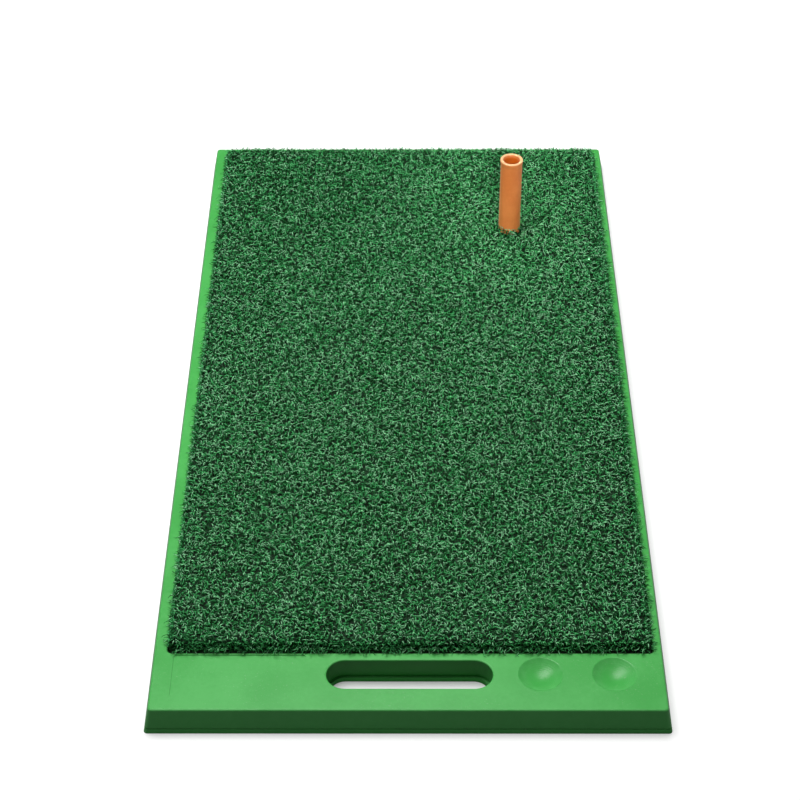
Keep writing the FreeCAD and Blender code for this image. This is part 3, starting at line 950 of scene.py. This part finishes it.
def tube_template() -> tuple[np.ndarray, np.ndarray]:
    """One end's triangles: 9 ring points, three for each of three rings, then the tip.

    Returns:
        The corner numbers of 16 triangles, and for each corner its place in the end's own square of the map,
        with the way round across and the way along upwards.
    """
    faces, spots = [], []
    for ring in range(2):
        for side in range(3):
            a, b = 3 * ring + side, 3 * ring + (side + 1) % 3
            low, high = 0.15 + 0.3 * ring, 0.45 + 0.3 * ring
            left, right = side / 3, (side + 1) / 3
            faces += [(a, b, b + 3), (a, b + 3, a + 3)]
            spots += [((left, low), (right, low), (right, high)), ((left, low), (right, high), (left, high))]
    for side in range(3):
        faces.append((6 + side, 6 + (side + 1) % 3, 9))
        spots.append(((side / 3, 0.75), ((side + 1) / 3, 0.75), ((side + 0.5) / 3, 1.0)))
    faces.append((2, 1, 0))
    spots.append(((0.1, 0.0), (0.9, 0.0), (0.5, 0.1)))
    return np.array(faces), np.array(spots)


@dataclass(frozen=True)
class Growth:
    """How one kind of end grows: the climb of its three steps in degrees, with its scatter in radians; the
    least and the most of its turn in radians, and of its length and its radius in metres; and the scatter in
    radians of a heading that isn't at random."""

    climb: tuple[float, float, float]
    scatter: float
    turn: Pair
    length: Pair
    radius: Pair
    sway: float = 0.0

    def climbs(self, draw: np.random.Generator, count: int) -> np.ndarray:
        """Draws the climbs of a number of ends, as (ends, 3)."""
        return np.radians(self.climb) + draw.normal(0, self.scatter, (count, 3))

    def sizes(self, draw: np.random.Generator, count: int) -> dict[str, np.ndarray]:
        """Draws the turn, either way round, the length and the radius of a number of ends.

        Args:
            draw: the random generator.
            count: the number of ends.

        Returns:
            The three, by their names in Curls.
        """
        return {
            "turn": draw.uniform(*self.turn, count) * draw.choice([-1, 1], count),
            "length": draw.uniform(*self.length, count),
            "radius": draw.uniform(*self.radius, count),
        }


@dataclass
class Turf:
    """The tufted pile: a dark thatch, partly painted shade deep in the pile, with a curled end of yarn
    standing from every part of it.

    Each of its four cut corners lies off the pile's box by an X and a Y of its own.
    """

    low: Vector
    high: Vector
    recess_low: Vector
    recess_high: Vector
    rim: float
    axis: Pair
    hole: float
    front_left: Pair = (-0.0006, 0.0024)
    front_right: Pair = (-0.0012, 0.0022)
    far_right: Pair = (-0.0009, 0.0011)
    far_left: Pair = (0.0002, 0.0011)
    corner: float = 0.002
    spacing: float = 0.00138
    inset: float = 0.0008
    thatch_drop: float = 0.0032
    thatch_spacing: float = 0.0047
    thatch_rows: int = 110
    tuft: float = 0.0065
    tuft_height: float = 0.0005
    ragged: float = 0.0004
    ragged_wave: float = 0.006
    edge_share: float = 0.98
    jitter: float = 0.6
    crest_drop: float = 0.0031
    swell: float = 0.0003
    swell_wave: float = 0.05
    shoulder: float = 0.0030
    shoulder_drop: float = 0.0024
    tee_reach: float = 0.0045
    tee_lift: float = 0.0034
    lean_right: float = 0.15
    lean_out: float = 1.6
    lean_to_tee: float = 1.2
    far_away: float = 0.25
    # Tone of the standing ends, with painted shade deeper in the pile and towards the far end.
    tone_at_crest: float = 1.08
    painted_shade_far: float = 0.17
    painted_shade_deep: float = 1.15
    tone_scatter: float = 0.22
    standing: Growth = Growth((66, 12, -22), 0.28, (0.5, 2.4), (0.0042, 0.0070), (0.00031, 0.00043))
    fringe: Growth = Growth((16, -8, -30), 0.35, (0.4, 2.6), (0.0024, 0.0046), (0.000279, 0.000387), 0.75)
    stray: Growth = Growth((12, -8, -22), 0.25, (0.2, 2.2), (0.0028, 0.0075), (0.00018, 0.00030), 0.65)
    fringe_per_metre: float = 5200.0
    fringe_spacing: float = 0.0004
    fringe_depth: float = 0.0014
    fringe_tone: Pair = (1.4, 1.8)
    fringe_ends: Pair = (0.0008, 0.0032)
    fringe_climb: Pair = (-0.1, 0.65)
    strays: tuple[int, int, int] = (620, 900, 200)
    drifts: tuple[float, ...] = (-0.125, -0.075, -0.045, 0.0, 0.03, 0.075)
    drift_width: float = 0.015
    drift_share: float = 0.35
    stray_tone: Pair = (1.0, 1.0)
    stray_heights: Pair = (0.0004, 0.0040)
    stray_ends: Pair = (0.004, 0.003)
    rim_gap: float = 0.0006
    root_gap: float = 0.0002
    gap: float = 0.0001
    per_panel: int = 11800
    seed: int = 20

    def cut(self, flat: np.ndarray) -> np.ndarray:
        """Moves points of the pile's box onto the piece as it was cut by hand: each point moves by the blend
        of the four corners' moves, in proportion to how near it is to each.

        Args:
            flat: X and Y of each point.

        Returns:
            X and Y on the cut piece.
        """
        share = (flat - np.array(self.low.xy)) / np.array((self.high - self.low).xy)
        u, v = share[..., :1], share[..., 1:]
        near = (1 - u) * np.array(self.front_left) + u * np.array(self.front_right)
        far = (1 - u) * np.array(self.far_left) + u * np.array(self.far_right)
        return flat + (1 - v) * near + v * far

    def _slope(self, flat: np.ndarray) -> tuple[np.ndarray, np.ndarray]:
        """How the pile falls away at its edges: a quarter of an ellipse over the shoulder's width.

        Args:
            flat: X and Y of each point, on the pile's box.

        Returns:
            How far the pile is lower at each point, and the way out of it times how near the edge is.
        """
        from_low, from_high = flat - np.array(self.low.xy), np.array(self.high.xy) - flat
        low, high = (np.maximum(1 - np.maximum(gap, 0) / self.shoulder, 0) for gap in (from_low, from_high))
        nearness = np.minimum(np.linalg.norm(np.maximum(low, high), axis=-1), 1.0)
        return self.shoulder_drop * (1 - np.sqrt(1 - nearness ** 2)), high - low

    def thatch(self, effects: Effects) -> None:
        """Builds the thatch, which stands for the pile's CAD solid: a layer whose top waves at the size of a
        tuft and whose left and right edges are ragged.

        Args:
            effects: the shared node groups.
        """
        inset = Vector((self.inset, self.inset, 0.0))
        top = self.high.z - self.thatch_drop
        shape = Layer(self.low + inset, self.high - inset, self.corner, self.axis, self.hole)
        section = layer_section(self.low.z, top, self.thatch_rows, 0.0)
        points, faces = shape.loft(section, self.thatch_spacing)
        level = (points[..., 2] - self.low.z) / (top - self.low.z)
        flat = points[..., :2].copy()
        waves = self.tuft_height * relief(flat, self.tuft, self.seed)
        points[..., 2] += level * (waves - self._slope(flat)[0])
        ragged = self.ragged * relief(flat + points[..., 2:], self.ragged_wave, self.seed + 1)
        edge = (section[:, 0] > self.edge_share)[:, None]
        points[..., 0] += ragged * edge * np.sign(flat[..., 0])
        points[..., :2] = self.cut(points[..., :2])
        piece = new_piece("turf_thatch", points.reshape(-1, 3), faces, 180.0)
        # The thatch's near-black colour: dark yarn, and painted shade deep in the pile.
        thatch = ThatchFinish("packed_yarn", (0.001, 0.010, 0.002), (0.014, 0.085, 0.026), 0.75, specular=0.2)
        dress(piece, thatch.material(effects), "turf_yarn", Body.MAT)
        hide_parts("turf_pile")

    def _standing(self, draw: np.random.Generator) -> Curls:
        """The ends that stand all over the turf: roots on a jittered grid, and headings at random with a
        slight lean towards +X, outwards at the edges and towards the tee beside it. Painted shade: the deeper
        an end's crest lies, the darker its tone, and the far end of the turf is painted a little darker all
        over.

        Args:
            draw: the random generator.

        Returns:
            The ends.
        """
        low, high, size = (np.array(corner.xy) for corner in (self.low, self.high, self.high - self.low))
        counts = (size / self.spacing).astype(int)
        grid = np.stack(np.meshgrid(*map(np.arange, counts), indexing="ij"), -1).reshape(-1, 2)
        flat = low + (grid + 0.5 + draw.uniform(-self.jitter, self.jitter, grid.shape)) / counts * size
        flat = np.clip(flat, low + self.inset, high - self.inset)
        flat = flat[np.linalg.norm(flat - self.axis, axis=1) > self.hole + self.root_gap]
        n = len(flat)
        climb = self.standing.climbs(draw, n)
        heading = draw.uniform(0, 2 * np.pi, n)
        fall, outwards = self._slope(flat)
        from_tee = flat - self.axis
        reach = np.linalg.norm(from_tee, axis=1)
        beside_tee = np.exp(-(((reach - self.hole) / self.tee_reach) ** 2))
        lean = np.stack([np.cos(heading) + self.lean_right, np.sin(heading)]) + self.lean_out * outwards.T
        lean -= self.lean_to_tee * beside_tee * (from_tee / reach[:, None]).T
        depth = draw.uniform(0, 1, n)
        # Painted shade: lower tone towards the far end and for deeper crests.
        tone = self.tone_at_crest - self.painted_shade_far * np.clip(flat[:, 1] / self.far_away, 0, 1)
        tone -= self.painted_shade_deep * depth
        curls = Curls(
            roots=np.column_stack([self.cut(flat), np.zeros(n)]),
            heading=np.arctan2(lean[1], lean[0]),
            climb=climb,
            **self.standing.sizes(draw, n),
            tone=np.clip(tone + draw.normal(0, self.tone_scatter, n), 0, 1),
        )
        crest = self.high.z - self.crest_drop * depth - self.swell * (1 + relief(flat, self.swell_wave, 5))
        crest += self.tee_lift * beside_tee - fall
        curls.roots[:, 2] = crest - curls.centre_lines()[:, :, 2].max(1)
        return curls

    def _fringe(self, draw: np.random.Generator) -> Curls:
        """The ends that hang out of the four cut sides: roots on the sides at every height, headings
        outwards, and the higher the root, the steeper the climb.

        Args:
            draw: the random generator.

        Returns:
            The ends.
        """
        sides = Layer(self.low, self.high, self.corner, self.axis, self.hole)
        outline, way = sides.outline(self.fringe_spacing)
        around = 2 * sum((self.high - self.low).xy)
        pick = draw.integers(0, len(outline), int(around * self.fringe_per_metre))
        n = len(pick)
        share = draw.uniform(0, 1, n)
        ends = self.low.z + self.fringe_ends[0], self.high.z - self.fringe_ends[1]
        height = np.interp(share, (0, 1), ends)
        return Curls(
            roots=np.column_stack([self.cut(outline[pick] - self.fringe_depth * way[pick]), height]),
            climb=np.interp(share, (0, 1), self.fringe_climb)[:, None] + self.fringe.climbs(draw, n),
            heading=np.arctan2(way[pick, 1], way[pick, 0]) + draw.normal(0, self.fringe.sway, n),
            **self.fringe.sizes(draw, n),
            tone=draw.beta(*self.fringe_tone, n),
        )

    def _strays(self, draw: np.random.Generator) -> Curls:
        """Loose ends that lie on the rim: in front both evenly and in drifts, thick along the right side and
        a few along the left.

        Args:
            draw: the random generator.

        Returns:
            The ends.
        """
        low, high = self.low, self.high
        ahead, right, left = self.strays
        drifts = draw.choice(self.drifts, ahead) + draw.normal(0, self.drift_width, ahead)
        even = draw.uniform(low.x, high.x, ahead)
        across = np.where(draw.uniform(0, 1, ahead) < self.drift_share, drifts, even)
        across = np.clip(across, low.x + self.stray_ends[0], high.x - self.stray_ends[1])
        x = np.concatenate([across, np.repeat([high.x - self.rim_gap, low.x + self.root_gap], (right, left))])
        y = np.concatenate([np.full(ahead, low.y + self.inset), draw.uniform(low.y, high.y, right + left)])
        n = len(x)
        return Curls(
            roots=np.column_stack([x, y, self.rim + draw.uniform(*self.stray_heights, n)]),
            heading=np.repeat([-np.pi / 2, 0.0, np.pi], self.strays) + draw.normal(0, self.stray.sway, n),
            climb=self.stray.climbs(draw, n),
            **self.stray.sizes(draw, n),
            tone=draw.beta(*self.stray_tone, n),
        )

    def _settle(self, lines: np.ndarray, radius: np.ndarray) -> np.ndarray:
        """Keeps centre lines off their neighbours: a point over the rim is lifted to lie on it, and a point
        near the tee is moved straight away from its axis.

        Args:
            lines: centre lines as (ends, 4, 3).
            radius: each end's radius.

        Returns:
            The settled centre lines.
        """
        low, high = np.array(self.recess_low.xy) + self.rim_gap, np.array(self.recess_high.xy) - self.rim_gap
        outside = ((lines[..., :2] < low) | (lines[..., :2] > high)).any(-1)
        floor = np.where(outside, self.rim + radius[:, None] + self.gap, -1.0)
        lines[..., 2] = np.maximum(lines[..., 2], floor)
        away = lines[..., :2] - self.axis
        reach = np.linalg.norm(away, axis=-1, keepdims=True)
        lines[..., :2] = self.axis + away * np.maximum(1.0, (self.hole - self.gap) / np.maximum(reach, 1e-6))
        return lines

    def _panel(self, name: str, lines: np.ndarray, radius: np.ndarray, tone: np.ndarray) -> bpy.types.Object:
        """Makes one mesh of many ends.

        At each of three points a triangle stands across the line, on the axes side = level and square to the
        heading and up = tangent x side, four fifths as deep as it is wide; the last point is the tip.

        Args:
            name: the piece's name.
            lines: centre lines as (ends, 4, 3).
            radius: each end's radius.
            tone: each end's tone.

        Returns:
            The piece, with the attributes tone and rise and the map for its baked colours.
        """
        n = len(lines)
        steps = np.diff(lines, axis=1)
        tangent = np.concatenate([steps[:, :1], steps[:, :-1] + steps[:, 1:]], 1)
        tangent /= np.linalg.norm(tangent, axis=-1, keepdims=True)
        side = np.stack([-tangent[..., 1], tangent[..., 0], np.zeros((n, 3))], -1)
        side /= np.maximum(np.linalg.norm(side, axis=-1, keepdims=True), 1e-9)
        up = np.cross(tangent, side)
        angle = np.radians([90.0, 210.0, 330.0])[:, None]
        ring = np.cos(angle) * side[:, :, None] + 0.8 * np.sin(angle) * up[:, :, None]
        width = radius[:, None, None, None] * np.array([1.0, 1.0, 0.85])[:, None, None]
        rings = lines[:, :3, None] + width * ring
        points = np.concatenate([rings.reshape(n, 9, 3), lines[:, 3:]], 1)
        template, spots = tube_template()
        faces = (template + 10 * np.arange(n)[:, None, None]).reshape(-1, 3)
        piece = new_piece(name, points.reshape(-1, 3), faces, 180.0)
        mesh = piece.data
        rise = np.append(np.repeat([0.0, 0.8, 1.0], 3), 1.0)
        for label, values in (("tone", np.repeat(tone, 10)), ("rise", np.tile(rise, n))):
            mesh.attributes.new(label, "FLOAT", "POINT").data.foreach_set("value", values.astype(np.float32))
        cells = math.ceil(math.sqrt(n))
        corner = np.stack([np.arange(n) % cells, np.arange(n) // cells], -1)[:, None, None, :]
        spread = (corner + 0.1 + 0.8 * spots) / cells
        mesh.uv_layers.new(name="OFBake").data.foreach_set("uv", spread.astype(np.float32).ravel())
        return piece

    def build(self, effects: Effects) -> None:
        """Builds the thatch and every panel of yarn ends, in strips from the front to the far edge.

        Args:
            effects: the shared node groups.
        """
        self.thatch(effects)
        draw = np.random.default_rng(self.seed)
        kinds = [self._standing(draw), self._fringe(draw), self._strays(draw)]
        radius, tone = (np.concatenate([getattr(kind, key) for kind in kinds]) for key in ("radius", "tone"))
        lines = self._settle(np.concatenate([kind.centre_lines() for kind in kinds]), radius)
        order = np.argsort(lines[:, 0, 1], kind="stable")
        finish = YarnFinish("curled_yarn", (0.002, 0.085, 0.012), (0.118, 0.680, 0.215), 0.42, specular=0.09)
        yarn = finish.material(effects)
        panels = np.array_split(order, math.ceil(len(order) / self.per_panel))
        for number, chosen in enumerate(panels, 1):
            piece = self._panel(f"turf_curls_{number:02d}", lines[chosen], radius[chosen], tone[chosen])
            dress(piece, yarn, "turf_yarn", Body.MAT)


@dataclass
class Tee:
    """The hollow rubber tee, turned about its axis: a wide foot, a stem that narrows upwards, a rolled lip
    and a flared mouth."""

    low: Vector
    high: Vector
    bore: float = 5.75 * MM
    mouth: float = 6.7 * MM
    stem_foot: float = 8.6 * MM
    stem_neck: float = 8.4 * MM
    lip: float = 8.75 * MM
    lip_height: float = 2.4 * MM
    lip_slope: float = 1.2 * MM
    mouth_depth: float = 2.5 * MM
    foot_thickness: float = 2.8 * MM
    out_of_round: float = 0.08 * MM
    columns: int = 96

    @property
    def axis(self) -> tuple[float, float]:
        """The tee's axis, the middle of its box."""
        middle = (self.low + self.high) / 2
        return middle.x, middle.y

    def profile(self) -> np.ndarray:
        """The section as a closed loop of radius and height, anticlockwise from the foot of the bore.

        Each corner is a quadratic curve between points set back along its two legs by the corner's radius,
        and each long leg is divided evenly.

        Returns:
            One row of radius and height for each point.
        """
        z0, z1 = self.low.z, self.high.z
        foot = (self.high.x - self.low.x) / 2
        corners = np.array([
            (self.bore, z0, 0.3),
            (foot, z0, 0.5),
            (foot, z0 + self.foot_thickness, 0.9),
            (self.stem_foot, z0 + self.foot_thickness, 1.2),
            (self.stem_neck, z1 - self.lip_height - self.lip_slope, 1.4),
            (self.lip, z1 - self.lip_height, 0.7),
            (self.lip, z1, 0.62),
            (self.mouth, z1, 0.5),
            (self.bore, z1 - self.mouth_depth, 1.6),
        ])
        spot, back = corners[:, :2], corners[:, 2:] * MM
        legs = [np.roll(spot, 1, 0) - spot, np.roll(spot, -1, 0) - spot]
        runs = [np.linalg.norm(leg, axis=1, keepdims=True) for leg in legs]
        start, end = (spot + leg / run * np.minimum(back, 0.45 * run) for leg, run in zip(legs, runs))
        t = np.linspace(0, 1, 6)[None, :, None]
        bends = (1 - t) ** 2 * start[:, None] + 2 * t * (1 - t) * spot[:, None] + t ** 2 * end[:, None]
        t = np.linspace(0, 1, 8)[None, 1:-1, None]
        runs = end[:, None] + t * (np.roll(start, -1, 0) - end)[:, None]
        return np.concatenate([bends, runs], 1).reshape(-1, 2)

    def build(self, effects: Effects) -> None:
        """Builds and dresses the tee: each profile point is carried round the axis, slightly out of round as
        soft rubber is, by a two-lobed cosine that fades out at the foot.

        Args:
            effects: the shared node groups.
        """
        loop = self.profile()
        turn = np.linspace(0, 2 * np.pi, self.columns, endpoint=False)
        share = np.clip((loop[:, 1] - self.low.z) / (self.high.z - self.low.z), 0, 1)
        reach = loop[:, 0, None] + self.out_of_round * share[:, None] * np.cos(2 * turn + 0.6)
        x, y = self.axis[0] + reach * np.cos(turn), self.axis[1] + reach * np.sin(turn)
        points = np.stack([x, y, np.repeat(loop[:, 1, None], self.columns, 1)], -1)
        piece = new_piece("orange_tee", points.reshape(-1, 3), closed_faces(*points.shape[:2]), 60.0)
        finish = TeeFinish(
            name="orange_rubber", dark=(0.86, 0.235, 0.055), light=(0.96, 0.290, 0.075), roughness=0.46,
            axis=self.axis, top=self.high.z, bore_reach=self.mouth,
        )
        dress(piece, finish.material(effects), "tee_rubber", Body.TEE)
        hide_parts("rubber_tee")


# ---------------------------------------------------------------- studio


@dataclass(frozen=True)
class Lamp:
    """A rectangular soft lamp: where it hangs, what it faces, its sides in metres, its power in watts, and
    the angle in degrees that its light spreads over."""

    name: str
    place: tuple[float, float, float]
    target: tuple[float, float, float]
    sides: tuple[float, float]
    power: float
    spread: float = 180.0

    def hang(self) -> None:
        """Adds the lamp to the scene; it lights the object and isn't seen itself."""
        light = bpy.data.lights.new(self.name, "AREA")
        light.shape, light.size, light.size_y, light.energy = "RECTANGLE", *self.sides, self.power
        light.spread = math.radians(self.spread)
        lamp = bpy.data.objects.new(self.name, light)
        lamp.visible_camera = False
        aim = (Vector(self.target) - Vector(self.place)).to_track_quat("-Z", "Y")
        lamp.matrix_world = Matrix.Translation(self.place) @ aim.to_matrix().to_4x4()
        bpy.context.scene.collection.objects.link(lamp)


@dataclass
class Studio:
    """A pale floor, a white surround, soft lamps above and the camera in front.

    The floor's glow has three levels: under the mat, where it is lowest as painted shadow, beside it and far
    away. It goes from each to the next between two distances past the mat's edge.
    """

    mat_corner: Vector
    lamps: tuple[Lamp, ...] = (
        Lamp("softbox_above", (-0.16, 0.18, 1.24), (-0.02, -0.02, 0.0), (0.9, 0.6), 20.4),
        Lamp("softbox_tee", (0.14, -0.62, 0.60), (0.081, 0.188, 0.065), (0.10, 0.10), 0.034, 12.0),
    )
    ambient: float = 0.11
    gloss_share: float = 0.10
    floor_dark: float = 0.45
    floor_pale: float = 0.70
    # Glow under the mat, beside it and far away; the low glow under the mat is painted shadow.
    floor_glow: tuple[float, float, float] = (0.25, 0.405, 1.0)
    floor_steps: tuple[Pair, Pair] = ((-0.015, 0.0), (0.04, 0.9))
    floor_half: float = 6.0
    floor_cells: int = 24
    focal_length: float = 94.233
    camera_place: tuple[float, float, float] = (0.000468, -1.18114, 1.00021)
    pitch: float = 40.136
    yaw: float = -0.311
    roll: float = -0.207

    def _seen(self, nodes: Nodes) -> bpy.types.NodeSocket:
        """Tells the rays that look from the rays that give light.

        Args:
            nodes: the nodes of the world or of the floor's material.

        Returns:
            1 for rays from the camera or through glass, the gloss's share from a glossy face, 0 for others.
        """
        path = nodes.add("ShaderNodeLightPath").outputs
        direct = nodes.math("MAXIMUM", path["Is Camera Ray"], path["Is Transmission Ray"])
        return nodes.math("MAXIMUM", direct, nodes.times(path["Is Glossy Ray"], self.gloss_share))

    def _surround(self) -> None:
        """Makes the world white to the eye and a low even light to the object."""
        world = bpy.data.worlds.new("white_surround")
        bpy.context.scene.world = world
        world.use_nodes = True
        world.node_tree.nodes.clear()
        nodes = Nodes(world.node_tree)
        strength = nodes.plus(nodes.times(self._seen(nodes), 1.0 - self.ambient), self.ambient)
        glow = nodes.add("ShaderNodeBackground", {"Color": (1, 1, 1, 1), "Strength": strength})
        nodes.add("ShaderNodeOutputWorld", {"Surface": glow.outputs[0]})

    def _floor(self) -> None:
        """Lays the floor: a level grid of squares at height 0, pale grey, with a glow that only shows to the
        eye and grows away from the object, so that it is white and keeps the object's shadow. Its lowest
        glow, under the mat, is painted shadow."""
        cells = self.floor_cells
        line = np.linspace(-self.floor_half, self.floor_half, cells + 1)
        x, y = np.meshgrid(line, line)
        points = np.stack([x, y, 0 * x], -1).reshape(-1, 3)
        first = np.arange(cells)[:, None] * (cells + 1) + np.arange(cells)
        faces = first.reshape(-1, 1) + np.array([0, 1, cells + 2, cells + 1])
        floor = new_piece("floor", points, faces, 180.0)
        material = bpy.data.materials.new("floor_white")
        material.use_nodes = True
        material.node_tree.nodes.clear()
        nodes = Nodes(material.node_tree)
        seen = self._seen(nodes)
        colour = nodes.blend(seen, [self.floor_dark] * 3, [self.floor_pale] * 3)
        matt = nodes.add("ShaderNodeBsdfDiffuse", {"Color": colour})
        x, y, _ = nodes.parts(nodes.add("ShaderNodeTexCoord").outputs["Object"])
        sides = (nodes.math("ABSOLUTE", x), self.mat_corner.x), (nodes.math("ABSOLUTE", y), self.mat_corner.y)
        past = nodes.math("MAXIMUM", *(nodes.math("SUBTRACT", along, half) for along, half in sides))
        # The low glow under the mat is painted shadow.
        under, beside, away = self.floor_glow
        near, far = (nodes.step(past, *ends) for ends in self.floor_steps)
        level = nodes.plus(under, nodes.times(near, beside - under), nodes.times(far, away - beside))
        glow = nodes.add("ShaderNodeEmission", {"Color": (1, 1, 1, 1), "Strength": nodes.times(seen, level)})
        both = nodes.add("ShaderNodeAddShader", {0: matt.outputs[0], 1: glow.outputs[0]})
        nodes.add("ShaderNodeOutputMaterial", {"Surface": both.outputs[0]})
        floor.data.materials.append(material)
        floor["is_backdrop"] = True

    def _camera(self) -> None:
        """Sets up the camera from its place and its pitch below the horizon, yaw and roll."""
        pitch, yaw, roll = (math.radians(a) for a in (self.pitch, self.yaw, self.roll))
        ahead = Vector((math.sin(yaw) * math.cos(pitch), math.cos(yaw) * math.cos(pitch), -math.sin(pitch)))
        right = Vector((math.cos(yaw), -math.sin(yaw), 0.0))
        upward = right.cross(ahead)
        across = math.cos(roll) * right + math.sin(roll) * upward
        upright = -math.sin(roll) * right + math.cos(roll) * upward
        lens = bpy.data.cameras.new("camera")
        lens.lens, lens.sensor_width = self.focal_length, 36.0
        camera = bpy.data.objects.new("camera", lens)
        turned = Matrix((across, upright, -ahead)).transposed().to_4x4()
        camera.matrix_world = Matrix.Translation(self.camera_place) @ turned
        bpy.context.scene.collection.objects.link(camera)
        bpy.context.scene.camera = camera

    def build(self) -> None:
        """Builds the whole studio."""
        bpy.context.scene.view_settings.view_transform = "Standard"
        self._surround()
        self._floor()
        self._camera()
        for lamp in self.lamps:
            lamp.hang()
        LOG.info("studio: floor, surround, camera and %d lamps", len(self.lamps))


def main() -> None:
    """Builds the mat in order on its frame."""
    logging.basicConfig(level=logging.INFO, format="%(message)s")
    for left in list(bpy.data.objects):
        bpy.data.objects.remove(left)
    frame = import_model()
    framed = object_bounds()
    effects = Effects()
    Base(frame["nodes"]["base_tray"], frame["nodes"]["anti_slip_sole"]).finish(effects)
    tee = Tee(*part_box("rubber_tee"))
    Underlay(tee.axis, TEE_HOLE).build(effects)
    low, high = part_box("turf_pile")
    pad_low, pad_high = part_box("shock_pad")
    tray_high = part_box("base_tray")[1]
    gap = Vector((0.001, 0.001, 0.0))
    Turf(low, high, pad_low - gap, pad_high + gap, tray_high.z, tee.axis, TEE_HOLE).build(effects)
    tee.build(effects)
    Studio(tray_high).build()
    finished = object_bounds()
    boxes = {"frame": framed, "finished": finished}
    {name: [list(corner) for corner in box] for name, box in boxes.items()}


if __name__ == "__main__":
    main()
